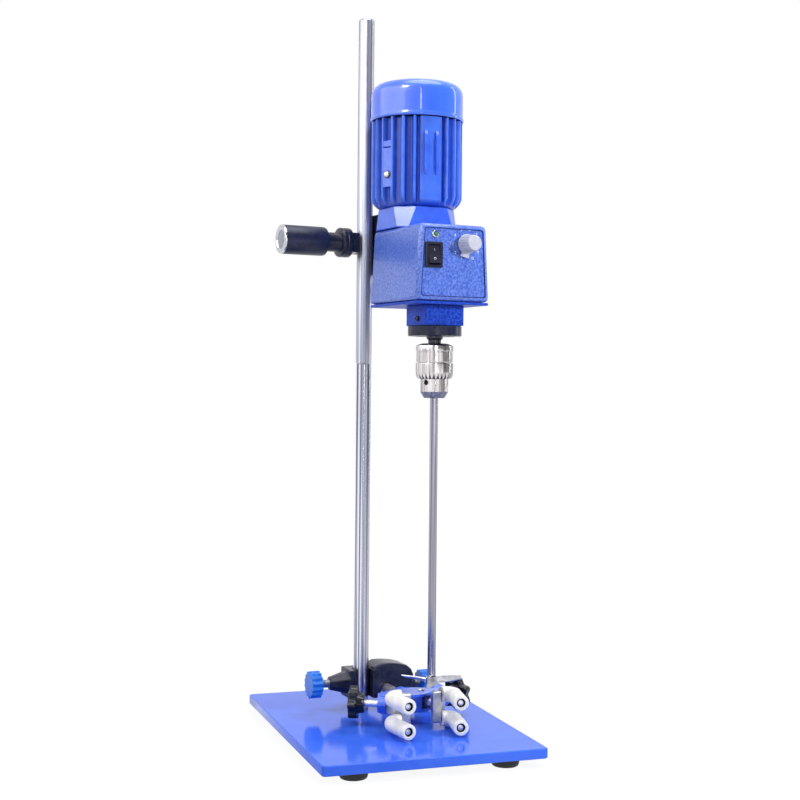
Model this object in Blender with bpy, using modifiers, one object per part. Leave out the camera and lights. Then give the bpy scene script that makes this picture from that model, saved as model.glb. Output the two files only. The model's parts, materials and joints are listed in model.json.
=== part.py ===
"""Overhead stirrer on a plate stand, with a bosshead and a four-finger flask clamp.

Units are metres, +Z is up. The origin is the centre of the footprint, on the
bench. +X is to the right of the control panel and +Y is to the back.
"""
import math

import bmesh
import bpy
from mathutils import Matrix, Vector

MM = 0.001

# General clearances
GAP = 0.3 * MM
RUN = 0.3 * MM
OVER = 1.0 * MM

# Base plate, feet and column
PLATE_X = 214 * MM
PLATE_Y = 292 * MM
PLATE_T = 9.5 * MM
PLATE_CORNER_R = 4 * MM
PLATE_EDGE = 0.8 * MM
FOOT_R = 13.5 * MM
FOOT_TAPER = 1.2 * MM
FOOT_H = 8.5 * MM
FOOT_INSET_X = 34.5 * MM
FOOT_INSET_Y = 21 * MM
COLUMN_R = 8 * MM
COLUMN_HALF = 350 * MM
COLUMN_CHAMFER = 0.5 * MM
COLUMN_TIP_ROUND = 2.5 * MM
COLUMN_X = -12.5 * MM
COLUMN_Y = 51 * MM
COLUMN_THREAD_R = 4 * MM
STUD_BITE = 18 * MM
BOLT_BITE = 20 * MM
BOLT_HEAD_R = 7.5 * MM
BOLT_HEAD_T = 5.3 * MM
WASHER_R = 8.5 * MM
WASHER_T = 1.5 * MM

# Head, in its own frame: origin on the column axis at the plate's top face
HEAD_YAW = 7.7
HOUSING_BOTTOM = 408.8 * MM
HOUSING_TOP = 482 * MM
HOUSING_LEFT = -4.5 * MM
HOUSING_WIDTH = 78.5 * MM
HOUSING_DRAFT = 3.9 * MM
HOUSING_BACK = -22 * MM
HOUSING_DEPTH = 104.5 * MM
HOUSING_WALL = 3 * MM
HOUSING_ROUND = 4 * MM
COVER_T = 2.5 * MM

# Front panel and its controls
PANEL_BORDER = 4.5 * MM
PANEL_T = 2.4 * MM
PANEL_SET_BACK = 0.6 * MM
PANEL_CORNER = 3 * MM
SWITCH_X = 12.8 * MM
SWITCH_Z = 452 * MM
SWITCH_W = 18 * MM
SWITCH_H = 24 * MM
SWITCH_RIM = 3 * MM
SWITCH_BODY_W = 15 * MM
SWITCH_BODY_H = 20.6 * MM
SWITCH_DEPTH = 15 * MM
ROCKER_W = 11.5 * MM
ROCKER_H = 17.5 * MM
ROCKER_TILT = 10
ROCKER_WELL = 7 * MM
LAMP_X = 14.7 * MM
LAMP_Z = 471.5 * MM
LAMP_R = 4.2 * MM
LAMP_LENS_R = 2.6 * MM
LAMP_BODY_R = 3.1 * MM
LAMP_LENGTH = 12 * MM
DIAL_FROM_RIGHT = 26 * MM
DIAL_X = HOUSING_LEFT + HOUSING_WIDTH - DIAL_FROM_RIGHT
DIAL_Z = 463.5 * MM
KNOB_SKIRT_R = 10.3 * MM
KNOB_SKIRT_T = 3 * MM
KNOB_R = 7.4 * MM
KNOB_CAP_R = 6.3 * MM
KNOB_H = 18 * MM
KNOB_FLUTES = 12
POT_R = 8.5 * MM
POT_T = 9 * MM
POT_BUSH_R = 4.2 * MM
POT_SHAFT_R = 3 * MM
BOARD_T = 1.6 * MM
BOARD_OFF_WALL = 3 * MM
BOARD_RAIL = 4 * MM
GLAND_FROM_RIGHT = 16 * MM
GLAND_X = HOUSING_LEFT + HOUSING_WIDTH - GLAND_FROM_RIGHT
GLAND_Z = 430 * MM
GLAND_R = 6 * MM
GLAND_HEX_R = 9 * MM
GLAND_BORE_R = 3.3 * MM

# Motor, on the drive axis
DRIVE_X = 32 * MM
MOTOR_Y = -51.7 * MM
ADAPTER_TOP = 502.7 * MM
ADAPTER_X = 66 * MM
ADAPTER_Y = 64 * MM
ADAPTER_CORNER = 9 * MM
ADAPTER_TOP_SIDE = 67 * MM
ADAPTER_TOP_CORNER = 17 * MM
MOTOR_BOTTOM = 503 * MM
MOTOR_TOP = 589 * MM
FIN_TIP_R = 45 * MM
FIN_ROOT_R = 39 * MM
FIN_COUNT = 24
FIN_SHARE = 0.22
MOTOR_BORE_R = 34.2 * MM
PANEL_FLAT_R = 42.6 * MM
FRONT_RIB_ANGLES = (-105, -90)
FRONT_RIB_T = 2.6 * MM
FRONT_RIB_BOTTOM = 532 * MM
FRONT_RIB_TOP = 575 * MM
TERMINAL_ANGLE = -157.5
TERMINAL_W = 11 * MM
TERMINAL_R = 44 * MM
TERMINAL_BOTTOM = 521 * MM
TERMINAL_TOP = 566 * MM
MOTOR_END_T = 5 * MM
COWL_R = 46 * MM
COWL_TOP = 626.5 * MM
COWL_WALL = 1.6 * MM
COWL_ROUND = 9 * MM
COWL_SLOTS = 12
BEARING_R = 11 * MM
BEARING_T = 7 * MM
MOTOR_SHAFT_R = 4 * MM
MOTOR_SHAFT_BOTTOM = 414 * MM
MOTOR_SHAFT_TOP = 611 * MM
STATOR_BORE_R = 22 * MM
STATOR_BOTTOM = 516 * MM
STATOR_TOP = 572 * MM
ROTOR_GAP = 0.6 * MM
FAN_R = 39 * MM
FAN_HUB_R = 8 * MM
FAN_BLADES = 8
FAN_BLADE_T = 1.5 * MM
FAN_BOTTOM = 594 * MM
FAN_H = 14 * MM

# Belt drive
SPINDLE_Y = -93.7 * MM
PULLEY_Z = 420 * MM
PULLEY_H = 10 * MM
PULLEY_RIM = 1 * MM
PULLEY_RIM_R = 2 * MM
MOTOR_PULLEY_R = 8 * MM
SPINDLE_PULLEY_R = 12 * MM
BELT_T = 1.4 * MM

# Output housing, flange, spindle and chuck
OUTPUT_SIDE = 42 * MM
OUTPUT_BOTTOM = 386.4 * MM
OUTPUT_ROUND = 2 * MM
SPINDLE_R = 6 * MM
SPINDLE_TOP = 434 * MM
SPINDLE_COLLAR_R = 8 * MM
SPINDLE_COLLAR_BOTTOM = 373 * MM
SPINDLE_BEARING_R = 13 * MM
FLANGE_R = 26 * MM
FLANGE_BOTTOM = 376.4 * MM
CHUCK_TOP = 369 * MM
CHUCK_R = 18 * MM
CHUCK_RING_H = 7 * MM
CHUCK_BAND_IN = 0.6 * MM
SLEEVE_TOP = 350 * MM
SLEEVE_BOTTOM = 335 * MM
SLEEVE_POCKET_R = 15.4 * MM
SLEEVE_TEETH = 24
SLEEVE_TOOTH_H = 2.2 * MM
CHUCK_CORE_R = 13.5 * MM
CHUCK_NOSE_Z = 322 * MM
CHUCK_BOTTOM = 317 * MM
CHUCK_NOSE_R = 10 * MM
CHUCK_BORE_R = 5.4 * MM
CHUCK_THREAD_DEPTH = 14 * MM
KEY_HOLE_R = 2.6 * MM
KEY_HOLE_Z = 331.8 * MM
KEY_HOLE_DEPTH = 3 * MM
KEY_HOLE_TURN = 85.7
JAW_COUNT = 3
JAW_R = 2.8 * MM
JAW_TILT = 12
JAW_FOOT = 6.3 * MM
JAW_BOTTOM = 317.6 * MM
JAW_LENGTH = 18 * MM
ROD_R = 4 * MM
ROD_TOP = 347 * MM
ROD_BOTTOM = 40.2 * MM
IMPELLER_HUB_R = 5.4 * MM
IMPELLER_TOP = 48 * MM
IMPELLER_R = 33 * MM
IMPELLER_BLADES = 3
BLADE_W = 9 * MM
BLADE_T = 1.0 * MM
BLADE_PITCH = 28
BLADE_Z = 44.2 * MM

# Head clamp: hook, screw, pad and grip
HOOK_Z = 472 * MM
HOOK_ARM_H = 19.6 * MM
HOOK_ARM_LEFT = -17 * MM
HOOK_ARM_T = 7 * MM
HOOK_BACK = 18 * MM
HOOK_ARM_FRONT = -9 * MM
HOOK_BLOCK_RIGHT = 24 * MM
HOOK_BLOCK_TOP = 501 * MM
HOOK_BLOCK_BOTTOM = 440 * MM
HOOK_STEP_Y = -12 * MM
CLAMP_SCREW_R = 5 * MM
CLAMP_COLLAR_R = 14.8 * MM
CLAMP_COLLAR_X = -33 * MM
CLAMP_NECK_R = 9.7 * MM
CLAMP_NECK_X = -44 * MM
CLAMP_CORE_R = 7 * MM
GRIP_R = 14.5 * MM
GRIP_END_X = -93 * MM

# Bosshead, in its own frame on the column axis
BOSS_YAW = 5
BOSS_SCREW_Z = 28 * MM
BOSS_BOTTOM = 12 * MM
BOSS_TOP = 41 * MM
BOSS_LEFT = -15 * MM
BOSS_RIGHT = 16.5 * MM
BOSS_FRONT = -13 * MM
BOSS_BACK = 17 * MM
BOSS_ROUND = 1.5 * MM
ARCH_TOP = 46.5 * MM
ARCH_RIGHT = 49 * MM
ARCH_FOOT = 9 * MM
BARREL_LEFT_X = -34.5 * MM
BARREL_R = 12 * MM
BARREL_TIP_R = 6.3 * MM
BARREL_RIGHT_X = 58.5 * MM
BOSS_SCREW_R = 4 * MM
BOSS_KNOB_R = 13.7 * MM
BOSS_KNOB_T = 11.5 * MM
BOSS_KNOB_FLUTES = 14
BOSS_KNOB_LEFT_X = -44.5 * MM
BOSS_KNOB_RIGHT_X = 65 * MM

# Flask clamp, in its own frame on the clamp rod's axis
CLAMP_X = 24 * MM
CLAMP_Z = 21 * MM
CLAMP_ROD_R = 5 * MM
CLAMP_ROD_BACK = 75 * MM
CLAMP_SOCKET_BACK = -46 * MM
CLAMP_SOCKET_R = 9 * MM
CLAMP_BLOCK_HALF = 6.4 * MM
CLAMP_BLOCK_FRONT = -86 * MM
CLAMP_ROD_FRONT = -64 * MM
CHEEK_T = 2.5 * MM
PIVOT_X = 12 * MM
PIVOT_Y = -69 * MM
PIVOT_R = 2.2 * MM
PIVOT_HEAD_R = 3.6 * MM
PIVOT_HEAD_T = 1.2 * MM
SCREW_CROSS_X = 19 * MM
SCREW_CROSS_Y = -81 * MM
SCREW_TURN = 31
CLAMP_SCREW_SHAFT_R = 3.15 * MM
LUG_FROM_CROSS = 14 * MM
LUG_R = 8.8 * MM
LUG_T = 8 * MM
STAR_FROM_CROSS = 42 * MM
STAR_R = 16.2 * MM
STAR_T = 9 * MM
STAR_HUB_R = 9 * MM
STAR_HUB_T = 6.5 * MM
STAR_LOBES = 7
STAR_DIP = 0.11
SCREW_TIP_PAST = 7.5 * MM
JAW_ARM_T = 8 * MM
JAW_ARM_H = 12 * MM
JAW_ARM_PAST = 12 * MM
JAW_NECK_W = 7 * MM
JAW_HEAD_F = (31 * MM, 38 * MM)
JAW_HEAD_S = (-4 * MM, 5 * MM)
JAW_HEAD_H = 30 * MM
LEFT_JAW_OPEN = 11
PRONG_LIFT = 11.6 * MM
PRONG_R = 2.5 * MM
PRONG_F = 34.5 * MM
PRONG_ELBOW_S = 17.6 * MM
PRONG_TIP_S = 6.7 * MM
PRONG_TIP_F = 76 * MM
PRONG_BEND_R = 8 * MM
PRONG_SHORT = 6 * MM
SLEEVE_R = 7.3 * MM
SLEEVE_WALL = 3.2 * MM

# Facets of round shapes
FINE = 26
MEDIUM = 18
COARSE = 12
SMALL = 8
OCTAGON = 8
HEX = 6

# Heights above the bench
PLATE_TOP = FOOT_H + PLATE_T


def clear_scene():
    """Empty the file, so that a second run gives the same objects."""
    for old in list(bpy.data.objects):
        bpy.data.objects.remove(old, do_unlink=True)
    for old in list(bpy.data.collections):
        bpy.data.collections.remove(old)


def collection(name):
    made = bpy.data.collections.new(name)
    bpy.context.scene.collection.children.link(made)
    return made


clear_scene()
PARTS = collection("overhead_stirrer")
TOOLS = collection("cutters_and_guides")


def material(name, colour, roughness, metallic):
    made = bpy.data.materials.new(name)
    made.use_nodes = True
    shader = made.node_tree.nodes["Principled BSDF"]
    shader.inputs["Base Color"].default_value = (*colour, 1.0)
    shader.inputs["Roughness"].default_value = roughness
    shader.inputs["Metallic"].default_value = metallic
    made.diffuse_color = (*colour, 1.0)
    return made


BLUE_ENAMEL = material("blue_enamel", (0.02, 0.08, 0.62), 0.25, 0.0)
BLUE_HAMMER = material("blue_hammer_paint", (0.03, 0.12, 0.60), 0.45, 0.0)
BLUE_PLASTIC = material("blue_plastic", (0.01, 0.13, 0.62), 0.40, 0.0)
BLACK_PLASTIC = material("black_plastic", (0.01, 0.01, 0.012), 0.30, 0.0)
BLACK_METAL = material("black_painted_metal", (0.008, 0.008, 0.012), 0.35, 0.0)
BLACK_RUBBER = material("black_rubber", (0.01, 0.01, 0.015), 0.75, 0.0)
CHROME = material("chrome", (0.62, 0.63, 0.66), 0.12, 1.0)
STEEL = material("steel", (0.55, 0.56, 0.58), 0.30, 1.0)
DARK_STEEL = material("dark_steel", (0.10, 0.10, 0.11), 0.40, 1.0)
ALUMINIUM = material("aluminium", (0.70, 0.71, 0.73), 0.30, 1.0)
COPPER = material("copper_winding", (0.55, 0.22, 0.08), 0.40, 1.0)
GREY_PLASTIC = material("grey_plastic", (0.45, 0.47, 0.52), 0.40, 0.0)
GREEN_LENS = material("green_lens", (0.05, 0.30, 0.16), 0.20, 0.0)
WHITE_VINYL = material("white_vinyl", (0.82, 0.81, 0.78), 0.55, 0.0)
BOARD_GREEN = material("board_green", (0.03, 0.16, 0.06), 0.50, 0.0)


def frame_at(name, location, yaw=0.0, parent=None):
    """An empty that carries a group of pieces."""
    empty = bpy.data.objects.new(name, None)
    PARTS.objects.link(empty)
    empty.location = location
    empty.rotation_euler = (0.0, 0.0, math.radians(yaw))
    empty.parent = parent
    return empty


COLUMN_AT = (COLUMN_X, COLUMN_Y, PLATE_TOP)
HEAD = frame_at("head_frame", COLUMN_AT, HEAD_YAW)
BOSS = frame_at("boss_frame", COLUMN_AT, BOSS_YAW)
CLAMP = frame_at("clamp_frame", (CLAMP_X, 0.0, CLAMP_Z), 0.0, BOSS)

ALONG_X = (0.0, math.radians(90), 0.0)
ALONG_MINUS_X = (0.0, math.radians(-90), 0.0)
ALONG_MINUS_Y = (math.radians(90), 0.0, 0.0)
ALONG_Y = (math.radians(-90), 0.0, 0.0)
UPRIGHT = (math.radians(90), 0.0, 0.0)


def object_from(name, bm):
    mesh = bpy.data.meshes.new(name)
    bm.to_mesh(mesh)
    bm.free()
    return bpy.data.objects.new(name, mesh)


def smooth(obj, angle=35):
    obj.data.shade_smooth()
    obj.data.set_sharp_from_angle(angle=math.radians(angle))


def place(obj, frame=None, location=(0.0, 0.0, 0.0), rotation=(0.0, 0.0, 0.0)):
    obj.parent = frame
    obj.location = location
    obj.rotation_euler = rotation
    return obj


def part(obj, name, finish):
    """Make an object one of the model's pieces."""
    obj.name = name
    obj.data.name = name
    obj.data.materials.clear()
    obj.data.materials.append(finish)
    PARTS.objects.link(obj)
    smooth(obj)
    return obj


def tool(obj):
    """Make an object a cutter or a shape to be joined, which isn't a piece."""
    TOOLS.objects.link(obj)
    obj.hide_render = True
    obj.display_type = "WIRE"
    return obj


def combine(target, other, operation):
    tool(other)
    step = target.modifiers.new(operation.lower(), "BOOLEAN")
    step.operation = operation
    step.object = other
    step.solver = "EXACT"
    step.use_self = operation == "UNION"
    return target


def cut(target, other):
    return combine(target, other, "DIFFERENCE")


def fuse(target, other):
    return combine(target, other, "UNION")


def keep_inside(target, other):
    return combine(target, other, "INTERSECT")


def round_edges(obj, width, segments=1, angle=40):
    step = obj.modifiers.new("edges", "BEVEL")
    step.width = width
    step.segments = segments
    step.limit_method = "ANGLE"
    step.angle_limit = math.radians(angle)
    return obj


def baked(obj):
    """The evaluated shape of an object as a plain mesh at the same place."""
    loose = not obj.users_collection
    if loose:
        TOOLS.objects.link(obj)
    bpy.context.view_layer.update()
    graph = bpy.context.evaluated_depsgraph_get()
    mesh = bpy.data.meshes.new_from_object(obj.evaluated_get(graph))
    bm = bmesh.new()
    bm.from_mesh(mesh)
    bmesh.ops.remove_doubles(bm, verts=bm.verts, dist=0.001 * MM)
    bmesh.ops.recalc_face_normals(bm, faces=bm.faces)
    bm.to_mesh(mesh)
    bm.free()
    made = bpy.data.objects.new(obj.name, mesh)
    made.matrix_world = obj.matrix_world
    bpy.data.objects.remove(obj, do_unlink=True)
    return made


def copies(source, placements):
    """Separate copies of one solid, as one mesh."""
    shape = baked(source)
    bm = bmesh.new()
    for matrix in placements:
        first = len(bm.verts)
        bm.from_mesh(shape.data)
        bm.verts.ensure_lookup_table()
        bmesh.ops.transform(bm, matrix=matrix, verts=bm.verts[first:])
    bpy.data.objects.remove(shape, do_unlink=True)
    return object_from("copies", bm)


def box(low, high):
    """A box between two corners."""
    bm = bmesh.new()
    bmesh.ops.create_cube(bm, size=1.0)
    size = Vector(high) - Vector(low)
    middle = (Vector(high) + Vector(low)) / 2
    bmesh.ops.scale(bm, vec=size, verts=bm.verts)
    bmesh.ops.translate(bm, vec=middle, verts=bm.verts)
    return object_from("box", bm)


def rounded_box(low, high, radius, segments=3):
    """A box whose upright edges are rounded."""
    obj = box(low, high)
    bm = bmesh.new()
    bm.from_mesh(obj.data)
    upright = [e for e in bm.edges if abs(e.verts[0].co.z - e.verts[1].co.z) > abs(high[2] - low[2]) / 2]
    bmesh.ops.bevel(bm, geom=upright, offset=radius, segments=segments, profile=0.5, affect="EDGES")
    bm.to_mesh(obj.data)
    bm.free()
    return obj


def cylinder(radius, low, high, segments=MEDIUM, top_radius=None):
    """A cylinder or cone on the Z axis."""
    bm = bmesh.new()
    end = radius if top_radius is None else top_radius
    bmesh.ops.create_cone(bm, cap_ends=True, segments=segments, radius1=radius, radius2=end,
                          depth=high - low)
    bmesh.ops.translate(bm, vec=(0.0, 0.0, (high + low) / 2), verts=bm.verts)
    return object_from("cylinder", bm)


def turned(profile, segments=MEDIUM, ring=False):
    """A turned shape. The profile runs down its outer side, as (radius, height)."""
    bm = bmesh.new()
    verts = [bm.verts.new((radius, 0.0, height)) for radius, height in profile]
    for first, second in zip(verts, verts[1:]):
        bm.edges.new((first, second))
    if ring:
        bm.edges.new((verts[-1], verts[0]))
    obj = object_from("turned", bm)
    step = obj.modifiers.new("turn", "SCREW")
    step.angle = 2 * math.pi
    step.steps = segments
    step.render_steps = segments
    step.use_merge_vertices = True
    step.merge_threshold = 0.00001
    step.use_smooth_shade = True
    return baked(obj)


def tube_ring(outer, inner, low, high, segments=MEDIUM):
    """A plain ring: a washer, a bearing or a bush."""
    return turned([(outer, high), (outer, low), (inner, low), (inner, high)], segments, ring=True)


def extruded(outline, thickness, holes=()):
    """A flat outline given a thickness, centred on its own plane."""
    curve = bpy.data.curves.new("outline", "CURVE")
    curve.dimensions = "2D"
    curve.fill_mode = "BOTH"
    curve.extrude = thickness / 2
    for loop in (outline, *holes):
        spline = curve.splines.new("POLY")
        spline.points.add(len(loop) - 1)
        for point, (x, y) in zip(spline.points, loop):
            point.co = (x, y, 0.0, 1.0)
        spline.use_cyclic_u = True
    return baked(bpy.data.objects.new("outline", curve))


def swept(points, radius, caps=True, resolution=2):
    """A tube along a path."""
    curve = bpy.data.curves.new("path", "CURVE")
    curve.dimensions = "3D"
    curve.bevel_depth = radius
    curve.bevel_resolution = resolution
    curve.use_fill_caps = caps
    spline = curve.splines.new("POLY")
    spline.points.add(len(points) - 1)
    for point, place_at in zip(spline.points, points):
        point.co = (*place_at, 1.0)
    return baked_open(bpy.data.objects.new("path", curve)) if not caps else baked(
        bpy.data.objects.new("path", curve))


def baked_open(obj):
    """The mesh of an open tube, with its faces pointing out."""
    TOOLS.objects.link(obj)
    bpy.context.view_layer.update()
    graph = bpy.context.evaluated_depsgraph_get()
    mesh = bpy.data.meshes.new_from_object(obj.evaluated_get(graph))
    made = bpy.data.objects.new(obj.name, mesh)
    bpy.data.objects.remove(obj, do_unlink=True)
    return made


def arc(centre, radius, start, end, steps):
    """Points on an arc, angles in degrees."""
    angles = [math.radians(start + (end - start) * i / steps) for i in range(steps + 1)]
    return [(centre[0] + radius * math.cos(a), centre[1] + radius * math.sin(a)) for a in angles]


def rounded_outline(corners, radius, steps=3):
    """A polygon with each corner replaced by an arc."""
    made = []
    count = len(corners)
    for i in range(count):
        before = Vector(corners[i - 1])
        here = Vector(corners[i])
        after = Vector(corners[(i + 1) % count])
        first = (before - here).normalized()
        second = (after - here).normalized()
        half = first.angle(second) / 2
        reach = min(radius / math.tan(half), (before - here).length / 2, (after - here).length / 2)
        for step in range(steps + 1):
            t = step / steps
            a = here + first * reach
            b = here + second * reach
            point = a * (1 - t) ** 2 + here * 2 * t * (1 - t) + b * t ** 2
            made.append((point.x, point.y))
    return made


def lobed_outline(radius, count, dip, points_each):
    """A round outline with smooth lobes."""
    total = count * points_each
    made = []
    for i in range(total):
        angle = 2 * math.pi * i / total
        swing = radius * (1 - dip * (1 - math.cos(count * angle)) / 2)
        made.append((swing * math.cos(angle), swing * math.sin(angle)))
    return made


# Stand: plate, feet, column


def foot_spots():
    x = PLATE_X / 2 - FOOT_INSET_X
    y = PLATE_Y / 2 - FOOT_INSET_Y
    return [(sx * x, sy * y, 0.0) for sx in (-1, 1) for sy in (-1, 1)]


def base_plate():
    low = (-PLATE_X / 2, -PLATE_Y / 2, FOOT_H)
    high = (PLATE_X / 2, PLATE_Y / 2, PLATE_TOP)
    plate = rounded_box(low, high, PLATE_CORNER_R)
    round_edges(plate, PLATE_EDGE)
    bolt_hole = cylinder(COLUMN_THREAD_R + GAP, FOOT_H - OVER, PLATE_TOP + OVER, COARSE)
    cut(plate, place(bolt_hole, None, (COLUMN_X, COLUMN_Y, 0.0)))
    return part(plate, "base_plate", BLUE_ENAMEL)


def feet():
    for index, spot in enumerate(foot_spots()):
        foot = turned([
            (0.0, FOOT_H - GAP),
            (FOOT_R, FOOT_H - GAP),
            (FOOT_R - FOOT_TAPER, FOOT_TAPER),
            (FOOT_R - 2 * FOOT_TAPER, 0.0),
            (0.0, 0.0)])
        part(place(foot, None, spot), f"foot_{index + 1}", BLACK_RUBBER)


def column_lower():
    """Lower half of the column, tapped at both ends."""
    bore = COLUMN_THREAD_R + GAP
    high = COLUMN_HALF
    rod = turned([
        (0.0, high - STUD_BITE - GAP),
        (bore, high - STUD_BITE - GAP),
        (bore, high),
        (COLUMN_R - COLUMN_CHAMFER, high),
        (COLUMN_R, high - COLUMN_CHAMFER),
        (COLUMN_R, GAP + COLUMN_CHAMFER),
        (COLUMN_R - COLUMN_CHAMFER, GAP),
        (bore, GAP),
        (bore, GAP + BOLT_BITE),
        (0.0, GAP + BOLT_BITE)])
    return part(place(rod, None, COLUMN_AT), "column_lower", CHROME)


def column_upper():
    """Upper half of the column, with the stud that screws into the lower half."""
    low = COLUMN_HALF + GAP
    high = 2 * COLUMN_HALF
    rod = turned([
        (0.0, high),
        (COLUMN_R - COLUMN_TIP_ROUND, high),
        (COLUMN_R - COLUMN_TIP_ROUND * 0.3, high - COLUMN_TIP_ROUND * 0.3),
        (COLUMN_R, high - COLUMN_TIP_ROUND),
        (COLUMN_R, low + COLUMN_CHAMFER),
        (COLUMN_R - COLUMN_CHAMFER, low),
        (COLUMN_THREAD_R, low),
        (COLUMN_THREAD_R, COLUMN_HALF - STUD_BITE),
        (0.0, COLUMN_HALF - STUD_BITE)])
    return part(place(rod, None, COLUMN_AT), "column_upper", CHROME)


def column_bolt():
    """The flanged bolt that holds the column from below the plate."""
    flange_top = -PLATE_T - GAP
    head_top = flange_top - WASHER_T
    head = cylinder(BOLT_HEAD_R, head_top - BOLT_HEAD_T, head_top + WASHER_T / 2, HEX)
    flange = cylinder(WASHER_R, head_top, flange_top, COARSE)
    shank = cylinder(COLUMN_THREAD_R, head_top - OVER, BOLT_BITE - GAP, COARSE)
    fuse(head, place(flange, None, COLUMN_AT))
    fuse(head, place(shank, None, COLUMN_AT))
    return part(place(head, None, COLUMN_AT), "column_bolt", STEEL)


# Head: cast housing, covers and motor


def drafted_box(bottom, top, grow, below=0.0, above=0.0):
    """The housing's tapered block, grown or shrunk on all four sides."""
    height = HOUSING_TOP - HOUSING_BOTTOM
    slope = HOUSING_DRAFT / height

    def section(z):
        inset = (z - HOUSING_BOTTOM) * slope
        left = HOUSING_LEFT + inset - grow
        right = HOUSING_LEFT + HOUSING_WIDTH - inset + grow
        back = HOUSING_BACK + grow
        front = HOUSING_BACK - HOUSING_DEPTH - grow
        return [(left, front, z), (right, front, z), (right, back, z), (left, back, z)]

    bm = bmesh.new()
    rings = [[bm.verts.new(co) for co in section(z)] for z in (bottom - below, top + above)]
    bm.faces.new(list(reversed(rings[0])))
    bm.faces.new(rings[1])
    for i in range(4):
        j = (i + 1) % 4
        bm.faces.new((rings[0][i], rings[0][j], rings[1][j], rings[1][i]))
    return object_from("drafted_box", bm)


def panel_outline(inset):
    """The front panel's outline in X and Z, inside the housing's front face."""
    slope = HOUSING_DRAFT / (HOUSING_TOP - HOUSING_BOTTOM)
    low = HOUSING_BOTTOM + inset
    high = HOUSING_TOP - inset
    left_low = HOUSING_LEFT + inset * (1 + slope)
    right_low = HOUSING_LEFT + HOUSING_WIDTH - inset * (1 + slope)
    draft = HOUSING_DRAFT - 2 * inset * slope
    return rounded_outline([
        (left_low, low),
        (right_low, low),
        (right_low - draft, high),
        (left_low + draft, high)], PANEL_CORNER)


HOUSING_FRONT = HOUSING_BACK - HOUSING_DEPTH
PANEL_FACE = HOUSING_FRONT + PANEL_SET_BACK
PANEL_REAR = PANEL_FACE + PANEL_T


def control_housing():
    shell = round_edges(drafted_box(HOUSING_BOTTOM, HOUSING_TOP, 0.0), HOUSING_ROUND, 2)
    shell = baked(shell)
    cavity = drafted_box(HOUSING_BOTTOM, HOUSING_TOP - HOUSING_WALL, -HOUSING_WALL, below=OVER * 9)
    cut(shell, place(cavity, HEAD))
    opening = extruded(panel_outline(PANEL_BORDER), 2 * (HOUSING_WALL + GAP))
    cut(shell, place(opening, HEAD, (0.0, HOUSING_FRONT, 0.0), UPRIGHT))
    top_hole = cylinder(BEARING_R, HOUSING_TOP - HOUSING_WALL - OVER, HOUSING_TOP + OVER, MEDIUM)
    cut(shell, place(top_hole, HEAD, (DRIVE_X, MOTOR_Y, 0.0)))
    gland_hole = cylinder(GLAND_R + GAP, -HOUSING_WALL - OVER, OVER, SMALL)
    cut(shell, place(gland_hole, HEAD, (GLAND_X, HOUSING_BACK, GLAND_Z), ALONG_Y))
    return part(place(shell, HEAD), "control_housing", BLUE_HAMMER)


def base_cover():
    top = HOUSING_BOTTOM - GAP
    low = (HOUSING_LEFT, HOUSING_FRONT, top - COVER_T)
    high = (HOUSING_LEFT + HOUSING_WIDTH, HOUSING_BACK, top)
    cover = rounded_box(low, high, HOUSING_ROUND)
    bore = cylinder(SPINDLE_COLLAR_R, top - COVER_T - OVER, top + OVER, MEDIUM)
    cut(cover, place(bore, HEAD, (DRIVE_X, SPINDLE_Y, 0.0)))
    return part(place(cover, HEAD), "base_cover", BLUE_HAMMER)


def front_panel():
    panel = extruded(panel_outline(PANEL_BORDER + GAP), PANEL_T)
    middle = (PANEL_FACE + PANEL_REAR) / 2
    place(panel, HEAD, (0.0, middle, 0.0), UPRIGHT)
    reach = PANEL_T + OVER
    slot_x = SWITCH_BODY_W / 2 + GAP
    slot_z = SWITCH_BODY_H / 2 + GAP
    slot = box((-slot_x, -reach, -slot_z), (slot_x, reach, slot_z))
    cut(panel, place(slot, HEAD, (SWITCH_X, middle, SWITCH_Z)))
    for x, z, radius in ((LAMP_X, LAMP_Z, LAMP_BODY_R), (DIAL_X, DIAL_Z, POT_BUSH_R)):
        hole = cylinder(radius + GAP, -reach, reach, COARSE)
        cut(panel, place(hole, HEAD, (x, middle, z), ALONG_MINUS_Y))
    return part(panel, "front_panel", BLUE_HAMMER)


def switch_bezel():
    """The rocker switch's rim and body, with the well that the rocker moves in."""
    rim = box((-SWITCH_W / 2, -SWITCH_RIM, -SWITCH_H / 2), (SWITCH_W / 2, -GAP, SWITCH_H / 2))
    round_edges(rim, 0.6 * MM)
    rim = baked(rim)
    body = box((-SWITCH_BODY_W / 2, -SWITCH_RIM / 2, -SWITCH_BODY_H / 2),
               (SWITCH_BODY_W / 2, SWITCH_DEPTH, SWITCH_BODY_H / 2))
    at = (SWITCH_X, PANEL_FACE, SWITCH_Z)
    fuse(rim, place(body, HEAD, at))
    half_w = ROCKER_W / 2 + GAP
    half_h = ROCKER_H / 2 + 2 * GAP + OVER * 0.1
    well = box((-half_w, -SWITCH_RIM - OVER, -half_h), (half_w, ROCKER_WELL - SWITCH_RIM, half_h))
    cut(rim, place(well, HEAD, at))
    return part(place(rim, HEAD, at), "switch_bezel", BLACK_PLASTIC)


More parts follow.
